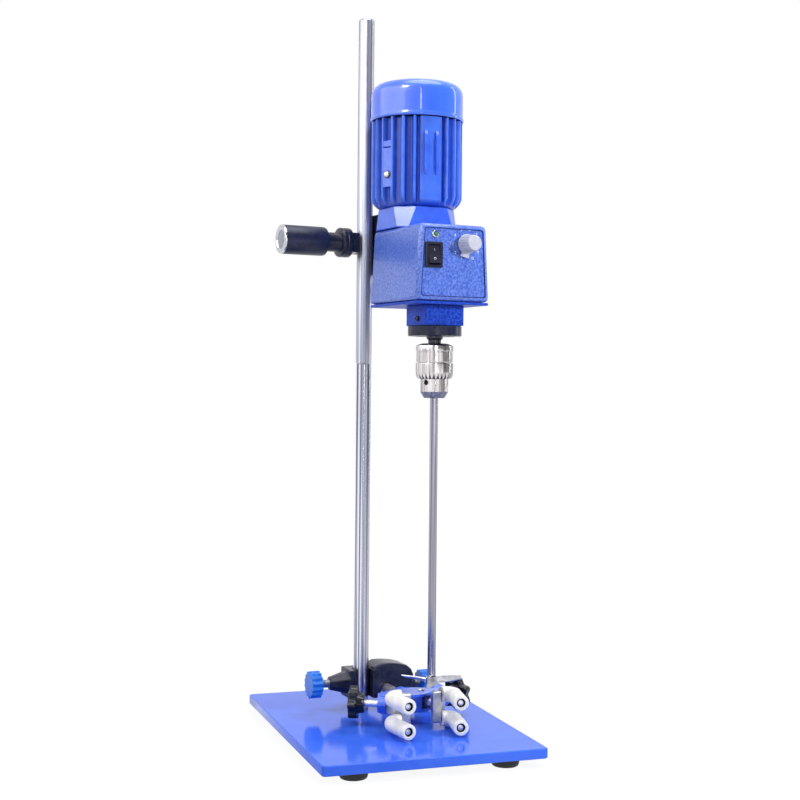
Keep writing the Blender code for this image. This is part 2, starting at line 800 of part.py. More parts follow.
def power_rocker():
    """The rocker, tilted to its off side, turning about its middle."""
    half = ROCKER_H / 2
    profile = [
        (-half, 2.2 * MM),
        (0.0, 1.0 * MM),
        (half, 2.2 * MM),
        (half - 1.5 * MM, -3 * MM),
        (-half + 1.5 * MM, -3 * MM)]
    rocker = extruded([(outward, -up) for up, outward in profile], ROCKER_W)
    stand = Matrix(((0, 0, 1, 0), (-1, 0, 0, 0), (0, -1, 0, 0), (0, 0, 0, 1)))
    tilt = Matrix.Rotation(math.radians(-ROCKER_TILT), 4, "X")
    rocker.data.transform(tilt @ stand)
    pivot = (SWITCH_X, PANEL_FACE - SWITCH_RIM / 2, SWITCH_Z)
    return part(place(rocker, HEAD, pivot), "power_rocker", BLACK_PLASTIC)


def pilot_light():
    """Chromed bezel, green lens and lamp body, turned about the light's axis."""
    rim = 1.6 * MM
    lamp = turned([
        (0.0, rim + 0.9 * MM),
        (LAMP_LENS_R * 0.7, rim + 0.6 * MM),
        (LAMP_LENS_R, rim),
        (LAMP_R - 0.8 * MM, rim),
        (LAMP_R, rim / 2),
        (LAMP_R, GAP),
        (LAMP_BODY_R, GAP),
        (LAMP_BODY_R, -LAMP_LENGTH),
        (0.0, -LAMP_LENGTH)], COARSE)
    at = (LAMP_X, PANEL_FACE, LAMP_Z)
    return part(place(lamp, HEAD, at, ALONG_MINUS_Y), "pilot_light", GREEN_LENS)


def potentiometer():
    """Body and bush of the speed control, behind the panel."""
    rear = PANEL_FACE - PANEL_REAR - GAP
    bore = POT_SHAFT_R + RUN
    pot = turned([
        (POT_BUSH_R, OVER),
        (POT_BUSH_R, rear),
        (POT_R, rear),
        (POT_R, rear - POT_T),
        (bore, rear - POT_T),
        (bore, OVER)], COARSE, ring=True)
    at = (DIAL_X, PANEL_FACE, DIAL_Z)
    return part(place(pot, HEAD, at, ALONG_MINUS_Y), "potentiometer", STEEL)


def speed_knob():
    """Skirted and fluted knob with its shaft, on the dial's axis."""
    seat = OVER + GAP
    knob = turned([
        (0.0, KNOB_H),
        (KNOB_CAP_R - 0.8 * MM, KNOB_H),
        (KNOB_CAP_R, KNOB_H - 0.8 * MM),
        (KNOB_R, seat + KNOB_SKIRT_T),
        (KNOB_SKIRT_R - 1.5 * MM, seat + KNOB_SKIRT_T),
        (KNOB_SKIRT_R, seat + KNOB_SKIRT_T * 0.3),
        (KNOB_SKIRT_R, seat),
        (POT_SHAFT_R, seat),
        (POT_SHAFT_R, -PANEL_T - POT_T * 0.8),
        (0.0, -PANEL_T - POT_T * 0.8)], 24)
    at = (DIAL_X, PANEL_FACE, DIAL_Z)
    place(knob, HEAD, at, ALONG_MINUS_Y)
    flute = cylinder(0.8 * MM, seat + KNOB_SKIRT_T + OVER / 2, KNOB_H - OVER, 4)
    spots = [Matrix.Rotation(2 * math.pi * i / KNOB_FLUTES, 4, "Z")
             @ Matrix.Translation((KNOB_R, 0.0, 0.0)) for i in range(KNOB_FLUTES)]
    cut(knob, place(copies(flute, spots), HEAD, at, ALONG_MINUS_Y))
    return part(knob, "speed_knob", GREY_PLASTIC)


def cable_gland():
    """Gland in the housing's back wall: hexagon, dome and lock nut."""
    shank = tube_ring(GLAND_R, GLAND_BORE_R, -HOUSING_WALL - 6 * MM, OVER * 2, SMALL)
    hexagon = cylinder(GLAND_HEX_R, GAP, 6 * MM, 6)
    dome = cylinder(GLAND_R + 1.8 * MM, 5 * MM, 14 * MM, SMALL, GLAND_R)
    nut = cylinder(GLAND_HEX_R, -HOUSING_WALL - 4 * MM, -HOUSING_WALL - GAP, 6)
    at = (GLAND_X, HOUSING_BACK, GLAND_Z)
    for other in (hexagon, dome, nut):
        fuse(shank, place(other, HEAD, at, ALONG_Y))
    bore = cylinder(GLAND_BORE_R, -HOUSING_WALL - 8 * MM, 16 * MM, SMALL)
    cut(shank, place(bore, HEAD, at, ALONG_Y))
    return part(place(shank, HEAD, at, ALONG_Y), "cable_gland", BLACK_PLASTIC)


def side_wall(z):
    """Where the inner face of the housing's drafted right wall lies at a height."""
    inset = (z - HOUSING_BOTTOM) * HOUSING_DRAFT / (HOUSING_TOP - HOUSING_BOTTOM)
    return HOUSING_LEFT + HOUSING_WIDTH - inset - HOUSING_WALL


def control_board():
    """Speed control board with its heat sink, on two rails along the right wall."""
    low = HOUSING_BOTTOM + 8 * MM
    high = HOUSING_TOP - 14 * MM
    front = HOUSING_FRONT + 28 * MM
    back = HOUSING_BACK - 16 * MM
    right = side_wall(high) - BOARD_OFF_WALL
    board = box((right - BOARD_T, front, low), (right, back, high))
    for z in (low, high - BOARD_RAIL):
        rail = box((right - BOARD_T / 2, front + OVER, z + OVER / 2),
                   (side_wall(z + BOARD_RAIL) - GAP, back - OVER, z + BOARD_RAIL - OVER / 2))
        fuse(board, place(rail, HEAD))
    tall = box((right - 9 * MM, front + 6 * MM, low + 26 * MM), (right - BOARD_T / 2, front + 18 * MM, high - 10 * MM))
    sink = box((right - 7 * MM, back - 24 * MM, low + 26 * MM), (right - BOARD_T / 2, back - 8 * MM, high - 8 * MM))
    for other in (tall, sink):
        fuse(board, place(other, HEAD))
    return part(place(board, HEAD), "control_board", BOARD_GREEN)


def circle_point(radius, angle):
    return (radius * math.cos(angle), radius * math.sin(angle))


def cut_rectangle(half_x, half_y, corner):
    """A rectangle's outline with its corners cut off at 45 degrees."""
    return [
        (half_x, -half_y + corner), (half_x, half_y - corner),
        (half_x - corner, half_y), (-half_x + corner, half_y),
        (-half_x, half_y - corner), (-half_x, -half_y + corner),
        (-half_x + corner, -half_y), (half_x - corner, -half_y)]


def motor_adapter():
    """Cast neck: a foot with cut corners whose corner faces widen towards the motor."""
    low = HOUSING_TOP + GAP
    foot = cut_rectangle(ADAPTER_X / 2, ADAPTER_Y / 2, ADAPTER_CORNER)
    collar = cut_rectangle(ADAPTER_TOP_SIDE / 2, ADAPTER_TOP_SIDE / 2, ADAPTER_TOP_CORNER)
    bm = bmesh.new()
    lower = [bm.verts.new((x, y, low)) for x, y in foot]
    upper = [bm.verts.new((x, y, ADAPTER_TOP)) for x, y in collar]
    bm.faces.new(list(reversed(lower)))
    bm.faces.new(upper)
    for i in range(len(foot)):
        j = (i + 1) % len(foot)
        bm.faces.new((lower[i], lower[j], upper[j], upper[i]))
    neck = object_from("neck", bm)
    at = (DRIVE_X, MOTOR_Y, 0.0)
    seat = cylinder(BEARING_R + GAP, ADAPTER_TOP - BEARING_T - 2 * GAP, ADAPTER_TOP + OVER)
    bore = cylinder(BEARING_R - 2 * MM, low - OVER, ADAPTER_TOP + OVER)
    cut(neck, place(seat, HEAD, at))
    cut(neck, place(bore, HEAD, at))
    return part(place(neck, HEAD, at), "motor_adapter", BLUE_ENAMEL)


def fin_outline():
    """The motor's outline in plan: cooling fins and, in front, a plain panel."""
    pitch = 360 / FIN_COUNT
    tip = pitch * FIN_SHARE / 2
    root = pitch * (FIN_SHARE + 0.16) / 2
    made = []
    for i in range(FIN_COUNT):
        middle = -180 + pitch * i
        if middle in FRONT_RIB_ANGLES:
            for step in (-0.46, 0.0, 0.46):
                made.append(circle_point(PANEL_FLAT_R, math.radians(middle + pitch * step)))
            continue
        made.append(circle_point(FIN_ROOT_R, math.radians(middle - root)))
        made.append(circle_point(FIN_TIP_R, math.radians(middle - tip)))
        made.append(circle_point(FIN_TIP_R, math.radians(middle + tip)))
        made.append(circle_point(FIN_ROOT_R, math.radians(middle + root)))
    return made


def motor_body():
    """Finned motor casing with a closed top end that seats the upper bearing."""
    height = MOTOR_TOP - MOTOR_BOTTOM
    casing = extruded(fin_outline(), height)
    casing.data.transform(Matrix.Translation((0.0, 0.0, (MOTOR_TOP + MOTOR_BOTTOM) / 2)))
    at = (DRIVE_X, MOTOR_Y, 0.0)
    envelope = turned([
        (0.0, MOTOR_TOP + OVER),
        (FIN_TIP_R + OVER, MOTOR_TOP + OVER),
        (FIN_TIP_R + OVER, MOTOR_BOTTOM + 14 * MM),
        (FIN_TIP_R - 2.5 * MM, MOTOR_BOTTOM + 5 * MM),
        (FIN_ROOT_R - 1.5 * MM, MOTOR_BOTTOM),
        (0.0, MOTOR_BOTTOM)], FIN_COUNT)
    keep_inside(casing, place(envelope, HEAD, at))
    for angle in FRONT_RIB_ANGLES:
        rib = box((PANEL_FLAT_R - 3 * MM, -FRONT_RIB_T / 2, FRONT_RIB_BOTTOM),
                  (FIN_TIP_R, FRONT_RIB_T / 2, FRONT_RIB_TOP))
        fuse(casing, place(rib, HEAD, at, (0.0, 0.0, math.radians(angle))))
    pad = box((FIN_ROOT_R - 3 * MM, -TERMINAL_W / 2, TERMINAL_BOTTOM),
              (TERMINAL_R, TERMINAL_W / 2, TERMINAL_TOP))
    fuse(casing, place(pad, HEAD, at, (0.0, 0.0, math.radians(TERMINAL_ANGLE))))
    ceiling = MOTOR_TOP - MOTOR_END_T
    cavity = turned([
        (0.0, MOTOR_TOP + OVER),
        (MOTOR_SHAFT_R + 2 * MM, MOTOR_TOP + OVER),
        (MOTOR_SHAFT_R + 2 * MM, ceiling),
        (BEARING_R + GAP, ceiling),
        (BEARING_R + GAP, ceiling - BEARING_T),
        (BEARING_R + 3 * MM, ceiling - BEARING_T),
        (BEARING_R + 3 * MM, ceiling),
        (MOTOR_BORE_R, ceiling),
        (MOTOR_BORE_R, MOTOR_BOTTOM - OVER),
        (0.0, MOTOR_BOTTOM - OVER)], MEDIUM)
    cut(casing, place(cavity, HEAD, at))
    return part(place(casing, HEAD, at), "motor_body", BLUE_ENAMEL)


def motor_bearings():
    for name, top in (("lower", ADAPTER_TOP - GAP), ("upper", MOTOR_TOP - MOTOR_END_T - GAP)):
        ring = tube_ring(BEARING_R, MOTOR_SHAFT_R + GAP, top - BEARING_T, top)
        part(place(ring, HEAD, (DRIVE_X, MOTOR_Y, 0.0)), f"motor_bearing_{name}", STEEL)


def stator():
    """Laminated ring with its end windings."""
    outer = MOTOR_BORE_R - GAP
    ends = 5 * MM
    ring = turned([
        (outer - 4 * MM, STATOR_TOP),
        (outer - 3 * MM, STATOR_TOP - ends),
        (outer, STATOR_TOP - ends),
        (outer, STATOR_BOTTOM + ends),
        (outer - 3 * MM, STATOR_BOTTOM + ends),
        (outer - 4 * MM, STATOR_BOTTOM),
        (STATOR_BORE_R, STATOR_BOTTOM),
        (STATOR_BORE_R, STATOR_TOP)], MEDIUM, ring=True)
    return part(place(ring, HEAD, (DRIVE_X, MOTOR_Y, 0.0)), "stator", COPPER)


def rotor():
    """Laminated rotor pressed on the motor's shaft."""
    ends = 6 * MM
    core_r = STATOR_BORE_R - ROTOR_GAP
    shaft = turned([
        (0.0, MOTOR_SHAFT_TOP),
        (MOTOR_SHAFT_R, MOTOR_SHAFT_TOP),
        (MOTOR_SHAFT_R, STATOR_TOP - ends),
        (core_r, STATOR_TOP - ends),
        (core_r, STATOR_BOTTOM + ends),
        (MOTOR_SHAFT_R, STATOR_BOTTOM + ends),
        (MOTOR_SHAFT_R, MOTOR_SHAFT_BOTTOM),
        (0.0, MOTOR_SHAFT_BOTTOM)])
    return part(place(shaft, HEAD, (DRIVE_X, MOTOR_Y, 0.0)), "rotor", DARK_STEEL)


def cooling_fan():
    """Radial fan on the shaft's upper end."""
    hub = cylinder(FAN_HUB_R, FAN_BOTTOM, FAN_BOTTOM + FAN_H, COARSE)
    at = (DRIVE_X, MOTOR_Y, 0.0)
    disc = cylinder(FAN_R * 0.7, FAN_BOTTOM, FAN_BOTTOM + 1.5 * MM, MEDIUM)
    blade = box((FAN_HUB_R - OVER, -FAN_BLADE_T / 2, FAN_BOTTOM + OVER / 2),
                (FAN_R, FAN_BLADE_T / 2, FAN_BOTTOM + FAN_H - OVER))
    fuse(hub, place(disc, HEAD, at))
    turns = [Matrix.Rotation(2 * math.pi * i / FAN_BLADES, 4, "Z") for i in range(FAN_BLADES)]
    fuse(hub, place(copies(blade, turns), HEAD, at))
    bore = cylinder(MOTOR_SHAFT_R + GAP, FAN_BOTTOM - OVER, FAN_BOTTOM + FAN_H + OVER, COARSE)
    cut(hub, place(bore, HEAD, at))
    return part(place(hub, HEAD, at), "cooling_fan", BLACK_PLASTIC)


def fan_cowl():
    """Smooth pressed cowl with air slots in its top."""
    low = MOTOR_TOP + GAP
    outer = [(COWL_R - COWL_ROUND + x, COWL_TOP - COWL_ROUND + y)
             for x, y in arc((0.0, 0.0), COWL_ROUND, 90, 0, 2)]
    inside = COWL_ROUND - COWL_WALL
    inner = [(COWL_R - COWL_ROUND + x, COWL_TOP - COWL_ROUND + y)
             for x, y in arc((0.0, 0.0), inside, 0, 90, 2)]
    profile = [(0.0, COWL_TOP), *outer, (COWL_R, low), (COWL_R - COWL_WALL, low), *inner,
               (0.0, COWL_TOP - COWL_WALL)]
    cowl = turned(profile, FINE)
    at = (DRIVE_X, MOTOR_Y, 0.0)
    slot = box((12 * MM, -1.6 * MM, COWL_TOP - COWL_WALL - OVER), (33 * MM, 1.6 * MM, COWL_TOP + OVER))
    turns = [Matrix.Rotation(2 * math.pi * i / COWL_SLOTS, 4, "Z") for i in range(COWL_SLOTS)]
    cut(cowl, place(copies(slot, turns), HEAD, at))
    return part(place(cowl, HEAD, at), "fan_cowl", BLUE_ENAMEL)


# Belt drive


def pulley(radius, bore_radius):
    rim = radius + PULLEY_RIM_R
    low = PULLEY_Z
    high = PULLEY_Z + PULLEY_H
    return turned([
        (rim, high),
        (rim, high - PULLEY_RIM),
        (radius, high - PULLEY_RIM),
        (radius, low + PULLEY_RIM),
        (rim, low + PULLEY_RIM),
        (rim, low),
        (bore_radius, low),
        (bore_radius, high)], MEDIUM, ring=True)


def motor_pulley():
    made = pulley(MOTOR_PULLEY_R, MOTOR_SHAFT_R + GAP)
    return part(place(made, HEAD, (DRIVE_X, MOTOR_Y, 0.0)), "motor_pulley", ALUMINIUM)


def spindle_pulley():
    made = pulley(SPINDLE_PULLEY_R, SPINDLE_R + GAP)
    return part(place(made, HEAD, (DRIVE_X, SPINDLE_Y, 0.0)), "spindle_pulley", ALUMINIUM)


def belt_loop(extra):
    """The belt's path round both pulleys, at one distance from them."""
    distance = MOTOR_Y - SPINDLE_Y
    small = MOTOR_PULLEY_R + extra
    large = SPINDLE_PULLEY_R + extra
    lean = math.degrees(math.asin((large - small) / distance))
    back = arc((0.0, MOTOR_Y), small, -lean, 180 + lean, 12)
    front = arc((0.0, SPINDLE_Y), large, 180 + lean, 360 - lean, 14)
    return back + front


def drive_belt():
    inner = belt_loop(GAP)
    outer = belt_loop(GAP + BELT_T)
    width = PULLEY_H - 2 * PULLEY_RIM - 2 * GAP
    belt = extruded(outer, width, [inner])
    return part(place(belt, HEAD, (DRIVE_X, 0.0, PULLEY_Z + PULLEY_H / 2)), "drive_belt", BLACK_RUBBER)


# Output housing, spindle, chuck, rod and impeller


COVER_BOTTOM = HOUSING_BOTTOM - GAP - COVER_T
OUTPUT_TOP = COVER_BOTTOM - GAP
SPINDLE_AT = (DRIVE_X, SPINDLE_Y, 0.0)


def output_housing():
    half = OUTPUT_SIDE / 2
    block = rounded_box((-half, -half, OUTPUT_BOTTOM), (half, half, OUTPUT_TOP), OUTPUT_ROUND, 2)
    seat = cylinder(SPINDLE_BEARING_R + GAP, OUTPUT_BOTTOM - OVER, OUTPUT_TOP + OVER)
    cut(block, place(seat, HEAD, SPINDLE_AT))
    return part(place(block, HEAD, SPINDLE_AT), "output_housing", BLUE_HAMMER)


def spindle_bearing():
    """Double-row bearing that fills the output housing."""
    ring = tube_ring(SPINDLE_BEARING_R, SPINDLE_R + GAP, OUTPUT_BOTTOM + GAP, OUTPUT_TOP - GAP)
    return part(place(ring, HEAD, SPINDLE_AT), "spindle_bearing", STEEL)


def output_flange():
    """Round black flange that closes the output housing from below."""
    high = OUTPUT_BOTTOM - GAP
    flange = turned([
        (FLANGE_R, high),
        (FLANGE_R, FLANGE_BOTTOM + 0.6 * MM),
        (FLANGE_R - 0.6 * MM, FLANGE_BOTTOM),
        (SPINDLE_COLLAR_R + RUN, FLANGE_BOTTOM),
        (SPINDLE_COLLAR_R + RUN, high)], FINE, ring=True)
    return part(place(flange, HEAD, SPINDLE_AT), "output_flange", BLACK_METAL)


def spindle():
    collar_top = OUTPUT_BOTTOM - GAP
    thread_end = CHUCK_TOP - CHUCK_THREAD_DEPTH + GAP
    shaft = turned([
        (0.0, SPINDLE_TOP),
        (SPINDLE_R - 0.5 * MM, SPINDLE_TOP),
        (SPINDLE_R, SPINDLE_TOP - 0.5 * MM),
        (SPINDLE_R, collar_top),
        (SPINDLE_COLLAR_R, collar_top),
        (SPINDLE_COLLAR_R, SPINDLE_COLLAR_BOTTOM),
        (SPINDLE_R, SPINDLE_COLLAR_BOTTOM),
        (SPINDLE_R, thread_end),
        (0.0, thread_end)])
    return part(place(shaft, HEAD, SPINDLE_AT), "spindle", DARK_STEEL)


def jaw_matrix(index):
    """Frame of one chuck jaw: its own axis leans out from the nose."""
    around = Matrix.Rotation(2 * math.pi * index / JAW_COUNT, 4, "Z")
    foot = Matrix.Translation((JAW_FOOT, 0.0, JAW_BOTTOM))
    lean = Matrix.Rotation(math.radians(JAW_TILT), 4, "Y")
    return around @ foot @ lean


def chuck_body():
    """Chuck core: top ring, hidden core, nose, key holes and jaw bores."""
    ring_low = CHUCK_TOP - 2 * MM - CHUCK_RING_H
    band = CHUCK_R - CHUCK_BAND_IN
    bore = CHUCK_BORE_R
    bore_top = ROD_TOP + 2 * MM
    thread = SPINDLE_R + GAP
    thread_end = CHUCK_TOP - CHUCK_THREAD_DEPTH
    core = turned([
        (0.0, thread_end),
        (thread, thread_end),
        (thread, CHUCK_TOP),
        (SPINDLE_COLLAR_R + OVER, CHUCK_TOP),
        (CHUCK_R - 1.5 * MM, CHUCK_TOP - 2 * MM),
        (CHUCK_R, CHUCK_TOP - 3.2 * MM),
        (CHUCK_R, ring_low + 0.5 * MM),
        (band, ring_low),
        (band, SLEEVE_TOP + GAP),
        (CHUCK_CORE_R, SLEEVE_TOP + GAP),
        (CHUCK_CORE_R, CHUCK_NOSE_Z),
        (CHUCK_NOSE_R, CHUCK_BOTTOM),
        (bore, CHUCK_BOTTOM),
        (bore, bore_top),
        (0.0, bore_top)], FINE)
    for index in range(JAW_COUNT):
        jaw_bore = cylinder(JAW_R + RUN, -6 * MM, JAW_LENGTH + 6 * MM, SMALL)
        jaw_bore.data.transform(jaw_matrix(index))
        cut(core, place(jaw_bore, HEAD, SPINDLE_AT))
        angle = math.radians(KEY_HOLE_TURN) + 2 * math.pi * index / JAW_COUNT
        key_hole = cylinder(KEY_HOLE_R, CHUCK_CORE_R - KEY_HOLE_DEPTH, CHUCK_CORE_R + OVER, SMALL)
        key_hole.data.transform(Matrix.Translation((0.0, 0.0, KEY_HOLE_Z))
                                @ Matrix.Rotation(angle, 4, "Z") @ Matrix.Rotation(math.radians(90), 4, "Y"))
        cut(core, place(key_hole, HEAD, SPINDLE_AT))
    return part(place(core, HEAD, SPINDLE_AT), "chuck_body", STEEL)


def chuck_sleeve():
    """Outer sleeve with the ring of key teeth on its lower edge."""
    bore = CHUCK_CORE_R + RUN
    sleeve = turned([
        (CHUCK_R - 0.6 * MM, SLEEVE_TOP),
        (CHUCK_R, SLEEVE_TOP - 0.6 * MM),
        (CHUCK_R, SLEEVE_BOTTOM + SLEEVE_TOOTH_H),
        (CHUCK_R - 1.2 * MM, SLEEVE_BOTTOM),
        (bore, SLEEVE_BOTTOM),
        (bore, SLEEVE_BOTTOM + 2.6 * MM),
        (SLEEVE_POCKET_R, SLEEVE_BOTTOM + 3.6 * MM),
        (SLEEVE_POCKET_R, SLEEVE_TOP - 2 * MM),
        (bore, SLEEVE_TOP - 1.5 * MM),
        (bore, SLEEVE_TOP)], SLEEVE_TEETH, ring=True)
    pitch = 2 * math.pi * CHUCK_R / SLEEVE_TEETH
    wedge = extruded([(-pitch * 0.36, -OVER), (pitch * 0.36, -OVER), (pitch * 0.1, SLEEVE_TOOTH_H),
                      (-pitch * 0.1, SLEEVE_TOOTH_H)], CHUCK_R - bore + 2 * OVER)
    middle = (CHUCK_R + bore) / 2
    stand = Matrix(((0, 0, 1, middle), (1, 0, 0, 0), (0, 1, 0, SLEEVE_BOTTOM), (0, 0, 0, 1)))
    spots = [Matrix.Rotation(2 * math.pi * i / SLEEVE_TEETH, 4, "Z") @ stand for i in range(SLEEVE_TEETH)]
    cut(sleeve, place(copies(wedge, spots), HEAD, SPINDLE_AT))
    return part(place(sleeve, HEAD, SPINDLE_AT), "chuck_sleeve", STEEL)


def chuck_jaw(index):
    """One jaw: a leaning pin whose inner side is hollowed to grip the rod."""
    jaw = cylinder(JAW_R, 0.0, JAW_LENGTH, SMALL)
    jaw.data.transform(jaw_matrix(index))
    grip = cylinder(ROD_R + GAP, JAW_BOTTOM - 5 * MM, JAW_BOTTOM + JAW_LENGTH + 5 * MM, MEDIUM)
    cut(jaw, place(grip, HEAD, SPINDLE_AT))
    return part(place(jaw, HEAD, SPINDLE_AT), f"chuck_jaw_{index + 1}", DARK_STEEL)


def stirring_rod():
    rod = turned([
        (0.0, ROD_TOP),
        (ROD_R - 0.5 * MM, ROD_TOP),
        (ROD_R, ROD_TOP - 0.5 * MM),
        (ROD_R, ROD_BOTTOM),
        (0.0, ROD_BOTTOM)], COARSE)
    return part(place(rod, HEAD, SPINDLE_AT), "stirring_rod", CHROME)


def impeller():
    """Hub with pitched blades that curve along their length."""
    low = ROD_BOTTOM - GAP
    hub = cylinder(IMPELLER_HUB_R, low, IMPELLER_TOP, COARSE)
    count = 5
    outline = []
    for side in (1, -1):
        for i in range(count + 1):
            t = i / count if side == 1 else 1 - i / count
            reach = ROD_R + 0.6 * MM + (IMPELLER_R - ROD_R - 0.6 * MM) * t
            width = BLADE_W * (0.62 + 0.38 * math.sin(math.pi * min(t + 0.15, 1.0))) / 2
            outline.append((reach, side * width))
    blade = extruded(outline, BLADE_T)
    pitch = Matrix.Rotation(math.radians(BLADE_PITCH), 4, "X")
    lift = Matrix.Translation((0.0, 0.0, BLADE_Z))
    spots = [Matrix.Rotation(2 * math.pi * i / IMPELLER_BLADES, 4, "Z") @ lift @ pitch
             for i in range(IMPELLER_BLADES)]
    fuse(hub, place(copies(blade, spots), HEAD, SPINDLE_AT))
    bore = cylinder(ROD_R + GAP, low - OVER, IMPELLER_TOP + OVER, COARSE)
    cut(hub, place(bore, HEAD, SPINDLE_AT))
    return part(place(hub, HEAD, SPINDLE_AT), "impeller", CHROME)


# Head clamp


def clamp_bracket():
    """Hook round the column: block behind the housing, bridge, and the screw's arm."""
    slot = COLUMN_R + GAP
    arm_right = HOOK_ARM_LEFT + HOOK_ARM_T
    front = HOUSING_BACK + GAP
    plan = [
        (HOOK_ARM_LEFT, HOOK_ARM_FRONT),
        (arm_right, HOOK_ARM_FRONT),
        (arm_right, 0.0),
        *arc((0.0, 0.0), slot + 1.2 * MM, 175, 90, 4),
        *arc((0.0, 0.0), slot, 80, 0, 5),
        (slot, front),
        (HOOK_BLOCK_RIGHT, front),
        (HOOK_BLOCK_RIGHT, HOOK_BACK),
        (HOOK_ARM_LEFT, HOOK_BACK)]
    hook = extruded(plan, HOOK_ARM_H)
    hook.data.transform(Matrix.Translation((0.0, 0.0, HOOK_Z)))
    lower = box((slot, front, HOOK_BLOCK_BOTTOM), (HOOK_BLOCK_RIGHT, HOOK_BACK, HOOK_Z))
    upper = box((slot, HOOK_STEP_Y, HOOK_Z), (HOOK_BLOCK_RIGHT, HOOK_BACK, HOOK_BLOCK_TOP))
    for other in (lower, upper):
        fuse(hook, place(other, HEAD))
    hole = cylinder(CLAMP_SCREW_R + RUN, HOOK_ARM_LEFT - OVER, OVER - COLUMN_R)
    cut(hook, place(hole, HEAD, (0.0, 0.0, HOOK_Z), ALONG_X))
    return part(place(hook, HEAD), "clamp_bracket", BLACK_METAL)


def clamp_screw():
    """Screw, collar and core of the clamp's handle, on one axis."""
    tip = COLUMN_R + GAP
    arm = -HOOK_ARM_LEFT + GAP
    collar = -CLAMP_COLLAR_X
    neck = -CLAMP_NECK_X
    end = -GRIP_END_X - 5 * MM
    screw = turned([
        (0.0, end),
        (CLAMP_CORE_R, end),
        (CLAMP_CORE_R, neck),
        (CLAMP_NECK_R, neck),
        (CLAMP_NECK_R, collar),
        (CLAMP_COLLAR_R - OVER, collar),
        (CLAMP_COLLAR_R, collar - OVER),
        (CLAMP_COLLAR_R, arm),
        (CLAMP_SCREW_R, arm),
        (CLAMP_SCREW_R, tip + OVER),
        (CLAMP_SCREW_R - OVER, tip),
        (0.0, tip)])
    return part(place(screw, HEAD, (0.0, 0.0, HOOK_Z), ALONG_MINUS_X), "clamp_screw", BLACK_METAL)


def clamp_grip():
    """Rubber grip with a closed end, over the handle's core."""
    low = -CLAMP_NECK_X + GAP
    end = -GRIP_END_X
    bore = CLAMP_CORE_R + GAP
    floor = end - 5 * MM + GAP
    grip = turned([
        (0.0, end),
        (GRIP_R - 1.5 * MM, end),
        (GRIP_R, end - 1.5 * MM),
        (GRIP_R, low + OVER),
        (GRIP_R - OVER, low),
        (bore, low),
        (bore, floor),
        (0.0, floor)])
    return part(place(grip, HEAD, (0.0, 0.0, HOOK_Z), ALONG_MINUS_X), "clamp_grip", BLACK_RUBBER)


# Bosshead


def barrel(start, end, height):
    """Faceted tapering barrel round a clamping screw, along X."""
    length = abs(end - start)
    cone = cylinder(BARREL_R, 0.0, length, OCTAGON, BARREL_TIP_R)
    cone.data.transform(Matrix.Rotation(math.radians(22.5), 4, "Z"))
    turn = ALONG_X if end > start else ALONG_MINUS_X
    return place(cone, BOSS, (start, 0.0, height), turn)


def bosshead():
    """Cross clamp: one hook takes the column, an arch takes the clamp's rod."""
    slot = COLUMN_R + GAP * 2
    plan = [
        (BOSS_LEFT, BOSS_FRONT + 3 * MM),
        (-slot, BOSS_FRONT + 3 * MM),
        *arc((0.0, 0.0), slot, 180, 0, 12),
        (slot, BOSS_FRONT),
        (BOSS_RIGHT, BOSS_FRONT),
        (BOSS_RIGHT, BOSS_BACK),
        (BOSS_LEFT, BOSS_BACK)]
    height = BOSS_TOP - BOSS_BOTTOM
    hook = extruded(plan, height)
    hook.data.transform(Matrix.Translation((0.0, 0.0, (BOSS_TOP + BOSS_BOTTOM) / 2)))
    rod_slot = CLAMP_ROD_R + GAP * 2
    side = [
        (slot + OVER, BOSS_BOTTOM + OVER),
        (CLAMP_X - rod_slot, BOSS_BOTTOM + OVER),
        *arc((CLAMP_X, CLAMP_Z), rod_slot, 180, 0, 8),
        (CLAMP_X + rod_slot, ARCH_FOOT),
        (ARCH_RIGHT, ARCH_FOOT),
        (ARCH_RIGHT + 5 * MM, CLAMP_Z),
        (ARCH_RIGHT + 5 * MM, ARCH_TOP - 12 * MM),
        (ARCH_RIGHT - 2 * MM, ARCH_TOP - 3.5 * MM),
        (CLAMP_X - rod_slot, ARCH_TOP),
        (slot + OVER, BOSS_TOP + 2 * MM)]
    arch = extruded(side, BOSS_BACK - BOSS_FRONT - 2 * MM)
    round_edges(arch, BOSS_ROUND, 1, 50)
    arch = baked(arch)
    fuse(hook, place(arch, BOSS, (0.0, (BOSS_BACK + BOSS_FRONT) / 2, 0.0), UPRIGHT))
    fuse(hook, barrel(BOSS_LEFT + OVER, BARREL_LEFT_X, BOSS_SCREW_Z))
    fuse(hook, barrel(ARCH_RIGHT - 3 * MM, BARREL_RIGHT_X, CLAMP_Z))
    reach = BOSS_SCREW_R + RUN
    left_hole = cylinder(reach, COLUMN_R, -BARREL_LEFT_X + OVER, COARSE)
    cut(hook, place(left_hole, BOSS, (0.0, 0.0, BOSS_SCREW_Z), ALONG_MINUS_X))
    right_hole = cylinder(reach, CLAMP_X, BARREL_RIGHT_X + OVER, COARSE)
    cut(hook, place(right_hole, BOSS, (0.0, 0.0, CLAMP_Z), ALONG_X))
    return part(place(hook, BOSS), "bosshead", BLACK_METAL)


def boss_knob(name, start, seat, height, turn):
    """One clamping knob with the stud that is moulded into it, on their axis."""
    at = (0.0, 0.0, height)
    knob = extruded(lobed_outline(BOSS_KNOB_R, BOSS_KNOB_FLUTES, 0.10, 3), BOSS_KNOB_T)
    knob.data.transform(Matrix.Translation((0.0, 0.0, seat + BOSS_KNOB_T / 2)))
    stud = cylinder(BOSS_SCREW_R, start, seat + OVER, COARSE)
    fuse(knob, place(stud, BOSS, at, turn))
    return part(place(knob, BOSS, at, turn), f"boss_knob_{name}", BLUE_PLASTIC)


